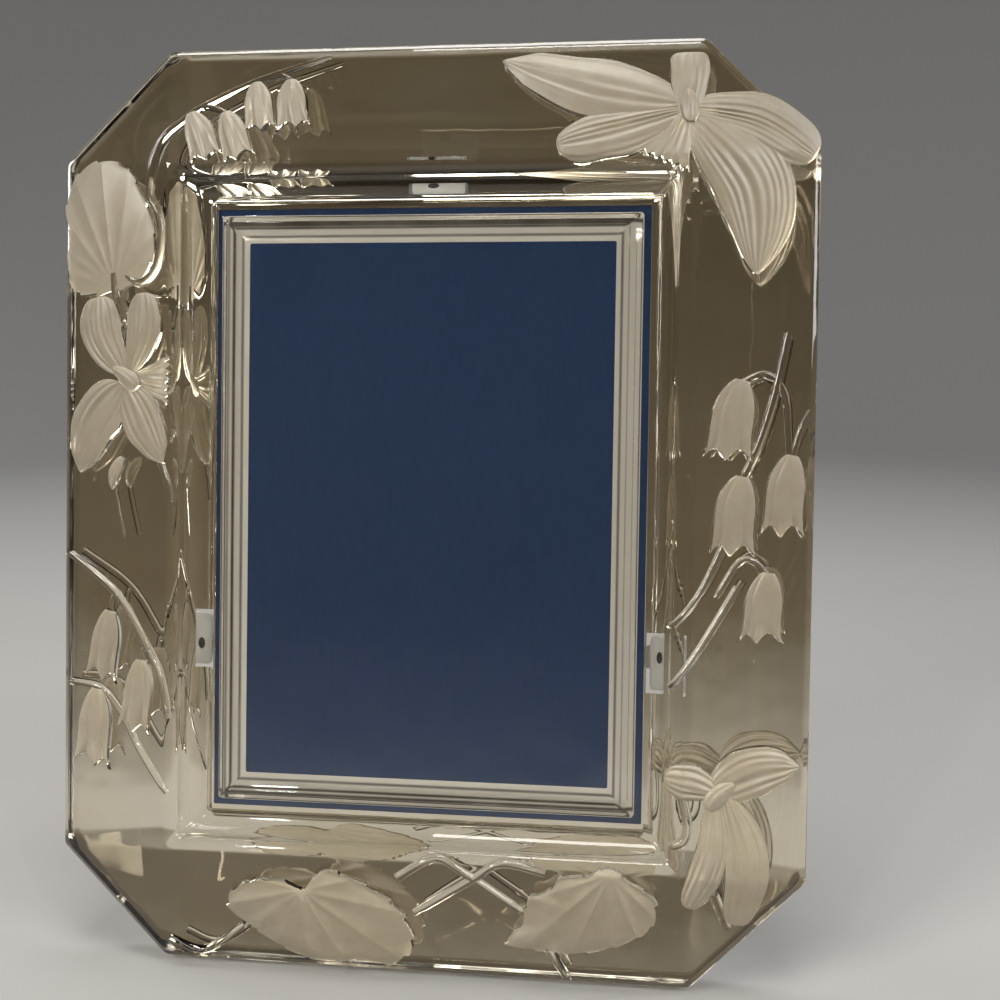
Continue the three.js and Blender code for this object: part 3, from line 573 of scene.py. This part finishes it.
def top_right_flower():
    return [
        petal([(58.5, 95), (38, 99.5), (17.5, 106.5)], 7.8, pointed_tip, ribs=4, rib_depth=0.14),
        petal([(59.5, 92.5), (46, 88.2), (31, 85)], 6.2, round_tip, ribs=7, ruffle=0.06),
        petal([(60.5, 93.5), (58, 87), (55.5, 81)], 6.4, fan, ribs=6),
        petal([(61, 93.5), (77, 91.5), (90, 83.5)], 7.2, round_tip, ribs=9),
        petal([(62, 92), (76, 76.5), (77, 56)], 10, tapered_tip, ribs=10),
        petal([(60.5, 92), (61, 100), (61, 107.5)], 4.8, broad_tip, rise=3, ribs=5),
        petal([(60.6, 98), (61, 94.5), (61.2, 90)], 2.3, round_tip, rise=3.8, ribs=3, rib_depth=0.1),
    ]


def pocket_cutter():
    """The pocket in the back; its floor is silvered under the cove's foot and satin with painted reflection
    stripes under the ridge.
    """
    width, height = POCKET_WIDTH, POCKET_HEIGHT
    rings = [[(x, y, z) for x, y in rounded_plan(width, width, -height / 2, height / 2, POCKET_CORNER)]
             for z in (-1, POCKET_DEPTH)]
    for inset in (FOOT_SILVER_INSET, RIDGE_INSET, RIDGE_INSET + RIDGE_WIDTH):
        x, y = HALF_WIDTH - inset, HALF_HEIGHT - inset
        rings.append([(px, py, POCKET_DEPTH) for px, py in rounded_plan(2 * x, 2 * x, -y, y, 0.5)])
    return loft("pocket", rings, kinds=[CLEAR, SILVER, CLEAR, SATIN], top_kind=CLEAR)


def bare_patch(side):
    """A shallow step that ends the silvering round a clip pad."""
    reach = PAD_LENGTH / 2 + BARE_MARGIN
    return block("bare", PAD_MIDDLE - reach, PAD_MIDDLE + reach, -BARE_INNER, BARE_OUTER[side],
                 -1, BARE_DEPTH, clip_place(side))


def crystal_body():
    slab = glass_slab()
    motifs = [*top_left_buds(), *left_flower(), *left_bells(), *lower_leaves(), *lower_right_flower(),
              *right_bells(), *top_right_flower()]
    cutters = [pocket_cutter(), *(bare_patch(side) for side in CLIPS)]
    for item in (slab, *motifs, *cutters):
        for look in (clear_glass, frosted_glass, silvering, satin_band):
            item.data.materials.append(look)
    combine(slab, motifs, "UNION")
    combine(slab, cutters, "DIFFERENCE")
    return smooth(slab, 32, weighted=True)


# Materials.

def material(name, base, roughness, **sockets):
    made = bpy.data.materials.new(name)
    made.use_nodes = True
    shader = made.node_tree.nodes["Principled BSDF"]
    shader.inputs["Base Color"].default_value = (*base, 1)
    shader.inputs["Roughness"].default_value = roughness
    for key, value in sockets.items():
        shader.inputs[key.replace("_", " ")].default_value = value
    return made, made.node_tree, shader


def own_spot(tree):
    """The place in the object's own space."""
    return tree.nodes.new("ShaderNodeTexCoord").outputs["Object"]


def axes(tree, spot):
    made = tree.nodes.new("ShaderNodeSeparateXYZ")
    tree.links.new(spot, made.inputs["Vector"])
    return made.outputs["X"], made.outputs["Y"], made.outputs["Z"]


def reckon(tree, operation, *values):
    """The result of a sum; each value is a number or a pattern."""
    made = tree.nodes.new("ShaderNodeMath")
    made.operation = operation
    for socket, value in zip(made.inputs, values):
        if isinstance(value, (int, float)):
            socket.default_value = value
        else:
            tree.links.new(value, socket)
    return made.outputs["Value"]


def noise(tree, scale, detail=2, stretch=None):
    """A noise pattern in the object's own space, with scale in bumps per metre."""
    spot = own_spot(tree)
    if stretch:
        grow = tree.nodes.new("ShaderNodeMapping")
        grow.inputs["Scale"].default_value = stretch
        tree.links.new(spot, grow.inputs["Vector"])
        spot = grow.outputs["Vector"]
    pattern = tree.nodes.new("ShaderNodeTexNoise")
    pattern.inputs["Scale"].default_value = scale
    pattern.inputs["Detail"].default_value = detail
    tree.links.new(spot, pattern.inputs["Vector"])
    return pattern.outputs["Fac"]


def shades(tree, fac, stops):
    """A colour or grey that runs through (position, shade) stops as the pattern rises."""
    made = tree.nodes.new("ShaderNodeValToRGB")
    points = made.color_ramp.elements
    while len(points) < len(stops):
        points.new(1)
    for point, (position, shade) in zip(points, stops):
        point.position = position
        point.color = (*shade, 1) if np.ndim(shade) else (shade, shade, shade, 1)
    tree.links.new(fac, made.inputs["Fac"])
    return made.outputs["Color"]


def ramp(tree, fac, low, high, start=0.3, end=0.7):
    """A colour or grey that runs from low to high as the pattern rises."""
    return shades(tree, fac, [(start, low), (end, high)])


def blend(tree, share, first, second):
    """One colour fading into another as the share rises; a colour may be fixed or a pattern."""
    made = tree.nodes.new("ShaderNodeMix")
    made.data_type = "RGBA"
    tree.links.new(share, made.inputs[0])
    for socket, shade in ((made.inputs[6], first), (made.inputs[7], second)):
        if isinstance(shade, tuple):
            socket.default_value = (*shade, 1)
        else:
            tree.links.new(shade, socket)
    return made.outputs[2]


def vary(tree, shader, socket, fac, low, high):
    """Lets a colour or a roughness follow a pattern."""
    tree.links.new(ramp(tree, fac, low, high), shader.inputs[socket])


def bump(tree, shader, fac, distance, strength):
    made = tree.nodes.new("ShaderNodeBump")
    made.inputs["Distance"].default_value = distance
    made.inputs["Strength"].default_value = strength
    tree.links.new(fac, made.inputs["Height"])
    tree.links.new(made.outputs["Normal"], shader.inputs["Normal"])


def clear_glass_material():
    made, tree, shader = material("clear_glass", (0.97, 0.955, 0.915), 0.012, Transmission_Weight=1, IOR=1.53)
    bump(tree, shader, noise(tree, 70, 1), 0.0006, 0.25)
    return made


def frosted_glass_material():
    made, tree, shader = material("frosted_glass", (0.9, 0.82, 0.66), 0.34, Transmission_Weight=0.78, IOR=1.5)
    vary(tree, shader, "Base Color", noise(tree, 260, 3), (0.86, 0.76, 0.59), (0.95, 0.87, 0.72))
    bump(tree, shader, noise(tree, 3800, 2), 0.0001, 0.35)
    return made


def silver_material():
    made, tree, shader = material("silvering", (0.84, 0.79, 0.68), 0.03, Metallic=1)
    vary(tree, shader, "Base Color", noise(tree, 45, 4), (0.8, 0.74, 0.61), (0.88, 0.84, 0.74))
    bump(tree, shader, noise(tree, 45, 2), 0.0005, 0.3)
    return made


def satin_band_material():
    """Pale satin behind the ridge, painted with reflection: pale strips of painted highlight and two lines of
    painted shade along it on every side of the window.
    """
    made, tree, shader = material("satin_band", (0.97, 0.92, 0.81), 0.15, Metallic=0.25)
    flat = tree.nodes.new("ShaderNodeMapping")
    flat.vector_type = "TEXTURE"
    flat.inputs["Location"].default_value = glass_origin
    flat.inputs["Rotation"].default_value = (math.pi / 2 - LEAN, 0, 0)
    flat.inputs["Scale"].default_value = (MM, MM, MM)
    tree.links.new(own_spot(tree), flat.inputs["Vector"])
    x, y, _ = axes(tree, flat.outputs["Vector"])
    past_side = reckon(tree, "SUBTRACT", HALF_WIDTH - RIDGE_INSET, reckon(tree, "ABSOLUTE", x))
    past_end = reckon(tree, "SUBTRACT", HALF_HEIGHT - RIDGE_INSET, reckon(tree, "ABSOLUTE", y))
    share = reckon(tree, "DIVIDE", reckon(tree, "MINIMUM", past_side, past_end), RIDGE_WIDTH)
    # The band's colour is painted reflection: pale strips of painted highlight, split by two lines of painted
    # shade, one darker than the other.
    pale, painted_half_shade_line, painted_shade_line = (0.99, 0.95, 0.85), (0.26, 0.24, 0.21), (0.1, 0.085, 0.065)
    painted_reflection_stripes = shades(tree, share, [(0.1, pale), (0.2, painted_shade_line), (0.27, painted_shade_line), (0.36, pale),
                                 (0.58, pale), (0.67, painted_half_shade_line), (0.72, painted_half_shade_line), (0.8, pale)])
    worn = ramp(tree, noise(tree, 120, 3), 0.0, 0.15)
    tree.links.new(blend(tree, worn, painted_reflection_stripes, (0.8, 0.74, 0.62)), shader.inputs["Base Color"])
    return made


def navy_sheet_material():
    made, tree, shader = material("navy_sheet", (0.013, 0.052, 0.16), 0.62, Specular_IOR_Level=0.2)
    fibre = noise(tree, 900, 4, (1, 0.25, 0.25))
    vary(tree, shader, "Base Color", fibre, (0.012, 0.049, 0.15), (0.014, 0.055, 0.17))
    vary(tree, shader, "Roughness", noise(tree, 60, 3), 0.55, 0.7)
    bump(tree, shader, fibre, 0.0001, 0.3)
    return made


def velvet_material():
    made, tree, shader = material("navy_velvet", (0.012, 0.022, 0.055), 0.95, Specular_IOR_Level=0.15,
                                  Sheen_Weight=0.55, Sheen_Roughness=0.35, Sheen_Tint=(0.35, 0.45, 0.7, 1))
    # The mottled colour is painted sheen: the light and dark patches that crushed pile shows.
    vary(tree, shader, "Base Color", noise(tree, 38, 4), (0.008, 0.015, 0.038), (0.02, 0.034, 0.078))
    bump(tree, shader, noise(tree, 2600, 3), 0.0003, 0.5)
    return made


def board_material():
    made, tree, shader = material("grey_board", (0.26, 0.24, 0.19), 0.9, Specular_IOR_Level=0.25)
    fibre = noise(tree, 700, 5, (1, 0.2, 1))
    vary(tree, shader, "Base Color", fibre, (0.2, 0.18, 0.14), (0.32, 0.29, 0.23))
    bump(tree, shader, fibre, 0.0002, 0.4)
    return made


def brass_material():
    made, tree, shader = material("pale_brass", (0.6, 0.44, 0.19), 0.3, Metallic=1)
    grain = noise(tree, 500, 3, (0.15, 6, 6))
    vary(tree, shader, "Base Color", noise(tree, 180, 4), (0.44, 0.31, 0.12), (0.66, 0.5, 0.24))
    vary(tree, shader, "Roughness", grain, 0.24, 0.42)
    bump(tree, shader, grain, 0.00005, 0.3)
    return made


def plastic_material():
    made, tree, shader = material("clip_plastic", (0.88, 0.89, 0.86), 0.3, Transmission_Weight=0.15, IOR=1.49)
    vary(tree, shader, "Base Color", noise(tree, 150, 3), (0.85, 0.86, 0.83), (0.91, 0.92, 0.89))
    bump(tree, shader, noise(tree, 900, 2), 0.0001, 0.15)
    return made


def steel_material():
    made, tree, shader = material("pivot_steel", (0.1, 0.1, 0.105), 0.35, Metallic=1)
    vary(tree, shader, "Roughness", noise(tree, 900, 3), 0.28, 0.45)
    vary(tree, shader, "Base Color", noise(tree, 400, 3), (0.07, 0.07, 0.074), (0.16, 0.16, 0.165))
    return made


clear_glass = clear_glass_material()
frosted_glass = frosted_glass_material()
silvering = silver_material()
satin_band = satin_band_material()
navy_sheet = navy_sheet_material()
navy_velvet = velvet_material()
grey_board = board_material()
pale_brass = brass_material()
clip_plastic = plastic_material()
pivot_steel = steel_material()


def dress(item, look, body, node):
    item.data.materials.clear()
    item.data.materials.append(look)
    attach(item, body)
    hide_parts(node)


def paint(node, look):
    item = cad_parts[node]
    item.data.materials.clear()
    item.data.materials.append(look)


# Back of the frame.

def cushion_rings(low_width, high_width, y0, y1, radius, edge_z, face_z, soft):
    """Rings from an edge over a rounded shoulder to the middle of a covered face."""
    side = math.copysign(1, face_z - edge_z)
    rings = [(0, edge_z)]
    for turn in np.linspace(0, math.pi / 2, 6):
        rings.append((soft * (1 - math.cos(turn)), face_z - side * soft * (1 - math.sin(turn))))
    deepest = min(low_width, high_width, y1 - y0) / 2 - 1
    for share in np.linspace(0.03, 1, 16):
        rings.append((soft + (deepest - soft) * share, face_z))
    made = []
    for inset, height in rings:
        plan = rounded_plan(low_width - 2 * inset, high_width - 2 * inset, y0 + inset, y1 - inset,
                            max(radius - 0.5 * inset, 0.4), 7)
        made.append([(x, y, height) for x, y in plan])
    return made


def board_velvet():
    half = BOARD_HEIGHT / 2
    rings = cushion_rings(BOARD_WIDTH, BOARD_WIDTH, -half, half, POCKET_CORNER,
                          BOARD_FRONT, BOARD_BACK - VELVET, 0.7)
    cover = loft("velvet_back", rings)
    width = BOARD_WIDTH - 2 * VELVET
    inner = rounded_plan(width, width, VELVET - half, half - VELVET, POCKET_CORNER)
    combine(cover, [plate("cavity", inner, BOARD_BACK, BOARD_FRONT + 1)], "DIFFERENCE")
    return smooth(cover, 50)


def foot_y(z):
    """Where a line along the leg at depth z meets the table."""
    axis_rise = HINGE_RISE * math.cos(LEAN) + AXIS_Z * math.sin(LEAN) - BACK_ARRIS * math.sin(LEAN)
    return -(axis_rise - z * math.sin(STANDING)) / math.cos(STANDING)


def leg_velvet():
    low = foot_y(0) - 6
    outline = (LEG_FOOT_WIDTH, LEG_HEAD_WIDTH, low, LEG_HEAD, LEG_CORNER)
    front_rings = cushion_rings(*outline, 0.9, LEG_FRONT, 1.1)
    back_rings = cushion_rings(*outline, 0.9, LEG_BACK, 1.1)
    cover = loft("velvet_leg", front_rings[::-1] + back_rings[1:], LEG)
    core = rounded_plan(LEG_FOOT_WIDTH - 2 * VELVET, LEG_HEAD_WIDTH - 2 * VELVET, low - 2, LEG_HEAD - VELVET,
                        LEG_CORNER)
    cavity = plate("cavity", core, LEG_BACK + VELVET, LEG_FRONT - VELVET, LEG)
    table = LEG @ Matrix.Translation((0, foot_y(0), 0)) @ Matrix.Rotation(-STANDING, 4, "X")
    under = block("under", -90, 90, -40, 0, -20, 20, table)
    combine(cover, [cavity, under], "DIFFERENCE")
    return smooth(cover, 50)


def rivet_holes(y, low, high, place):
    return [lathe("hole", [(RIVET_RADIUS + 0.05, low), (RIVET_RADIUS + 0.05, high)],
                  place @ Matrix.Translation((side * RIVET_SPACING / 2, y, 0)), 24) for side in (-1, 1)]


def hinge_board_leaf():
    seat = LEAF_SEAT
    plan = rounded_plan(LEAF_WIDTH, LEAF_WIDTH, -KNUCKLE_RADIUS, BOARD_LEAF_REACH, LEAF_CORNER)
    leaf_plate = plate("board_leaf", plan, seat - LEAF_THICKNESS, seat, HINGE)
    inner = LEAF_WIDTH / 2 - KNUCKLE_SIDE
    added = []
    for x0, x1 in ((-LEAF_WIDTH / 2, -inner), (inner, LEAF_WIDTH / 2)):
        added.append(barrel("knuckle", KNUCKLE_RADIUS, x0, x1, HINGE))
        added.append(block("cheek", x0, x1, -KNUCKLE_RADIUS, KNUCKLE_RADIUS, 0, seat, HINGE))
    combine(leaf_plate, added, "UNION")
    bore = barrel("bore", PIN_RADIUS + 0.05, -LEAF_WIDTH, LEAF_WIDTH, HINGE, 28)
    combine(leaf_plate, [bore, *rivet_holes(RIVET_RISE, seat - 3, seat + 3, HINGE)], "DIFFERENCE")
    return smooth(soften(leaf_plate, 0.14, 2, 40), 40)


def hinge_leg_leaf():
    low = LEG_BACK - 0.1 - LEAF_THICKNESS
    plan = rounded_plan(LEAF_WIDTH, LEAF_WIDTH, -LEG_LEAF_REACH, LEG_HEAD, LEAF_CORNER)
    leaf_plate = plate("leg_leaf", plan, low, low + LEAF_THICKNESS, LEG)
    reach = LEAF_WIDTH / 2 - KNUCKLE_SIDE - KNUCKLE_GAP
    heel_top = LEAF_SEAT - LEAF_THICKNESS - 0.2
    heel_turn = LEG @ Matrix.Rotation(-LEG_SPREAD, 4, "X")
    added = [
        block("tongue", -reach, reach, LEG_HEAD - 2, 0, low, low + LEAF_THICKNESS, LEG),
        barrel("knuckle", KNUCKLE_RADIUS, -reach, reach, LEG),
        block("heel", -reach, reach, 0, 4.2, heel_top - 1.4, heel_top, heel_turn),
        block("heel_root", -reach, reach, -0.5, 1.6, 0, heel_top, heel_turn),
    ]
    combine(leaf_plate, added, "UNION")
    bore = barrel("bore", PIN_RADIUS + 0.05, -LEAF_WIDTH, LEAF_WIDTH, LEG, 28)
    combine(leaf_plate, [bore, *rivet_holes(-RIVET_DROP, low - 3, low + 3, LEG)], "DIFFERENCE")
    return smooth(soften(leaf_plate, 0.14, 2, 40), 40)


def hinge_pin():
    end = LEAF_WIDTH / 2 + 0.6
    turn = np.linspace(0, math.pi / 2, 5)
    dome = [(PIN_RADIUS * math.sin(a), 0.35 * math.cos(a)) for a in turn]
    profile = [(r, -end + 0.35 - h) for r, h in dome] + [(r, end - 0.35 + h) for r, h in reversed(dome)]
    return smooth(lathe("pin", profile, HINGE @ Matrix.Rotation(math.pi / 2, 4, "Y")), 40)


def rivet(name, x, y, head_foot, shank_end, place):
    """A rivet with a low domed head that faces away from the frame."""
    turn = np.linspace(0, math.pi / 2, 9)
    dome = [(RIVET_HEAD * math.sin(a), -0.15 - 0.65 * math.cos(a)) for a in turn]
    end = shank_end - head_foot
    profile = dome + [(RIVET_HEAD, 0), (RIVET_RADIUS, 0), (RIVET_RADIUS, end), (0, end)]
    return smooth(lathe(name, profile, place @ Matrix.Translation((x, y, head_foot))), 40)


def pivot_hole(place):
    return lathe("hole", [(PIVOT_RADIUS + 0.05, -9), (PIVOT_RADIUS + 0.05, 1)], place, 28)


def clip_pad(side):
    place = clip_place(side)
    plan = rounded_plan(PAD_LENGTH, PAD_LENGTH, -PAD_WIDTH / 2, PAD_WIDTH / 2, 1.5)
    pad = plate("pad_" + side, plan + np.array((PAD_MIDDLE, 0)), PAD_BACK, PAD_FRONT, place)
    combine(pad, [pivot_hole(place)], "DIFFERENCE")
    return smooth(soften(pad, 0.2, 3, 40), 40)


def clip_tab(side):
    """A turn tab: tapered plate with an undercut toe and three grip ribs across its end."""
    place = clip_place(side)
    toe_end = TAB_HEEL - TAB_LENGTH
    plan = rounded_plan(TAB_WIDTH - TAB_TAPER, TAB_WIDTH, toe_end, TAB_HEEL, 2)
    tab = plate("tab_" + side, plan, TAB_BACK, TAB_FRONT, place)
    ribs = []
    for step in range(3):
        rib = place @ Matrix.Translation((0, toe_end + 3.4 + 1.3 * step, TAB_BACK + 0.1))
        ribs.append(barrel("rib", 0.35, -1.7, 1.7, rib, 16))
    combine(tab, ribs, "UNION")
    toe = block("toe", -TAB_WIDTH, TAB_WIDTH, -TAB_LENGTH, toe_end + 2, TAB_BACK - 1, TAB_BACK + 0.5, place)
    combine(tab, [toe, pivot_hole(place)], "DIFFERENCE")
    return smooth(soften(tab, 0.22, 3, 40), 40)


def clip_pivot(side):
    foot = TAB_BACK - 0.1
    turn = np.linspace(0, math.pi / 2, 9)
    dome = [(PIVOT_HEAD * math.sin(a), -0.15 - 0.75 * math.cos(a)) for a in turn]
    end = PAD_FRONT - 0.1 - foot
    profile = dome + [(PIVOT_HEAD, 0), (PIVOT_RADIUS, 0), (PIVOT_RADIUS, end), (0, end)]
    return smooth(lathe("pivot_" + side, profile, clip_place(side) @ Matrix.Translation((0, 0, foot))), 40)


crystal = crystal_body()
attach(crystal, "frame")
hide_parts("crystal_body")

paint("front_liner", navy_sheet)
paint("backing_board", grey_board)
paint("easel_leg", grey_board)

dress(board_velvet(), navy_velvet, "frame", "board_velvet")
dress(leg_velvet(), navy_velvet, "leg", "leg_velvet")
dress(hinge_board_leaf(), pale_brass, "frame", "hinge_board_leaf")
dress(hinge_leg_leaf(), pale_brass, "leg", "hinge_leg_leaf")
dress(hinge_pin(), pale_brass, "frame", "hinge_pin")
for hand, sign in (("left", -1), ("right", 1)):
    across = sign * RIVET_SPACING / 2
    seat = LEAF_SEAT - LEAF_THICKNESS - 0.05
    dress(rivet("rivet_board_" + hand, across, RIVET_RISE, seat, LEAF_SEAT + VELVET + 2, HINGE),
          pale_brass, "frame", "board_rivet_" + hand)
    seat = LEG_BACK - 0.1 - LEAF_THICKNESS - 0.05
    dress(rivet("rivet_leg_" + hand, across, -RIVET_DROP, seat, LEG_BACK + 2.6, LEG),
          pale_brass, "leg", "leg_rivet_" + hand)
for hand in CLIPS:
    dress(clip_pad(hand), clip_plastic, "frame", "clip_pad_" + hand)
    dress(clip_tab(hand), clip_plastic, "tab_" + hand, "clip_tab_" + hand)
    dress(clip_pivot(hand), pivot_steel, "frame", "clip_pivot_" + hand)


# Stage: a pale round sweep, soft lamps and the camera of the photograph.

FLOOR, BACKDROP, DIM_BACKDROP = (0.37, 0.365, 0.355), (0.19, 0.19, 0.19), (0.12, 0.1, 0.072)
FLOOR_RADIUS, FLOOR_CURVE, BACKDROP_TOP = 0.75, 0.6, 2.4
FLOOR_MIDDLE = (0, -0.25, 0)


def sweep_material():
    """Pale floor and plain backdrop, dimmer and warmer on the camera's side, the same for every ray."""
    made, tree, shader = material("sweep", FLOOR, 0.8, Specular_IOR_Level=0.2)
    spot = own_spot(tree)
    away = tree.nodes.new("ShaderNodeVectorMath")
    away.operation = "DISTANCE"
    away.inputs[1].default_value = FLOOR_MIDDLE
    tree.links.new(spot, away.inputs[0])
    depth = reckon(tree, "ADD", axes(tree, spot)[1], 0.5)
    wall = blend(tree, ramp(tree, depth, 0.0, 1.0, 0.1, 0.9), DIM_BACKDROP, BACKDROP)
    far = ramp(tree, away.outputs["Value"], 0.0, 1.0, 0.45, 0.95)
    tree.links.new(blend(tree, far, FLOOR, wall), shader.inputs["Base Color"])
    return made


def sweep():
    turns = np.linspace(0, 2 * math.pi, 96, endpoint=False)
    profile = [(0.001, 0), (0.3, 0), (FLOOR_RADIUS, 0)]
    for a in np.linspace(0, math.pi / 2, 16)[1:]:
        profile.append((FLOOR_RADIUS + FLOOR_CURVE * math.sin(a), FLOOR_CURVE * (1 - math.cos(a))))
    profile += [(FLOOR_RADIUS + FLOOR_CURVE, BACKDROP_TOP / 2), (FLOOR_RADIUS + FLOOR_CURVE, BACKDROP_TOP)]
    points = [(r * math.cos(a), r * math.sin(a), h) for r, h in profile for a in turns]
    count = len(turns)
    faces = [tuple(range(count))]
    for row in range(len(profile) - 1):
        for i in range(count):
            j = (i + 1) % count
            faces.append((row * count + i, row * count + j, (row + 1) * count + j, (row + 1) * count + i))
    data = bpy.data.meshes.new("sweep")
    data.from_pydata(points, [], faces)
    data.shade_smooth()
    data.materials.append(sweep_material())
    item = bpy.data.objects.new("sweep", data)
    bpy.context.scene.collection.objects.link(item)


def lamp(name, azimuth, elevation, distance, width, height, glow, tint=(1, 1, 1)):
    """A soft panel facing the frame, placed by distance and by degrees from straight in front."""
    across, up = math.radians(azimuth), math.radians(elevation)
    toward = Vector((math.sin(across) * math.cos(up), -math.cos(across) * math.cos(up), math.sin(up)))
    light = bpy.data.lights.new(name, "AREA")
    light.shape = "RECTANGLE"
    light.size, light.size_y = width, height
    light.energy = glow * math.pi * width * height
    light.color = tint
    item = bpy.data.objects.new(name, light)
    item.location = Vector((0, 0, HALF_HEIGHT * MM)) + toward * distance
    item.rotation_euler = (-toward).to_track_quat("-Z", "Y").to_euler()
    item.visible_camera = False
    bpy.context.scene.collection.objects.link(item)


def sky(color, strength):
    world = bpy.data.worlds.new("studio")
    world.use_nodes = True
    shade = world.node_tree.nodes["Background"]
    shade.inputs["Color"].default_value = (*color, 1)
    shade.inputs["Strength"].default_value = strength
    bpy.context.scene.world = world


def camera():
    lens = bpy.data.cameras.new("camera")
    lens.lens = 43.2
    lens.sensor_width = 36
    lens.clip_start, lens.clip_end = 0.01, 20
    item = bpy.data.objects.new("camera", lens)
    turn = Matrix(((0.9928, -0.0179, 0.11845), (0.1195, 0.21697, -0.96884), (-0.00836, 0.97602, 0.21754)))
    item.matrix_world = Matrix.Translation((0.0521, -0.2889, 0.1777)) @ turn.to_4x4()
    bpy.context.scene.collection.objects.link(item)
    bpy.context.scene.camera = item


sweep()
lamp("key", -47, 36, 1.35, 0.45, 0.36, 20, (1, 0.97, 0.92))
lamp("fill", 61, 34, 1.24, 0.4, 0.4, 11)
lamp("overhead", 0, 82, 1.4, 0.5, 0.4, 13, (1, 0.97, 0.92))
lamp("rim", -174, 68, 1.23, 0.9, 0.25, 6)
lamp("left_strip", -110, 26, 1.0, 0.2, 0.7, 6.5)
lamp("right_strip", 91, 26, 1.0, 0.2, 0.7, 6.5)
lamp("right_glint", 39, 43, 1.31, 0.05, 0.05, 150)
lamp("left_glint", -24, 38, 1.3, 0.05, 0.05, 170)
sky((0.85, 0.82, 0.76), 0.06)
camera()

bpy.context.scene.view_settings.view_transform = "Standard"
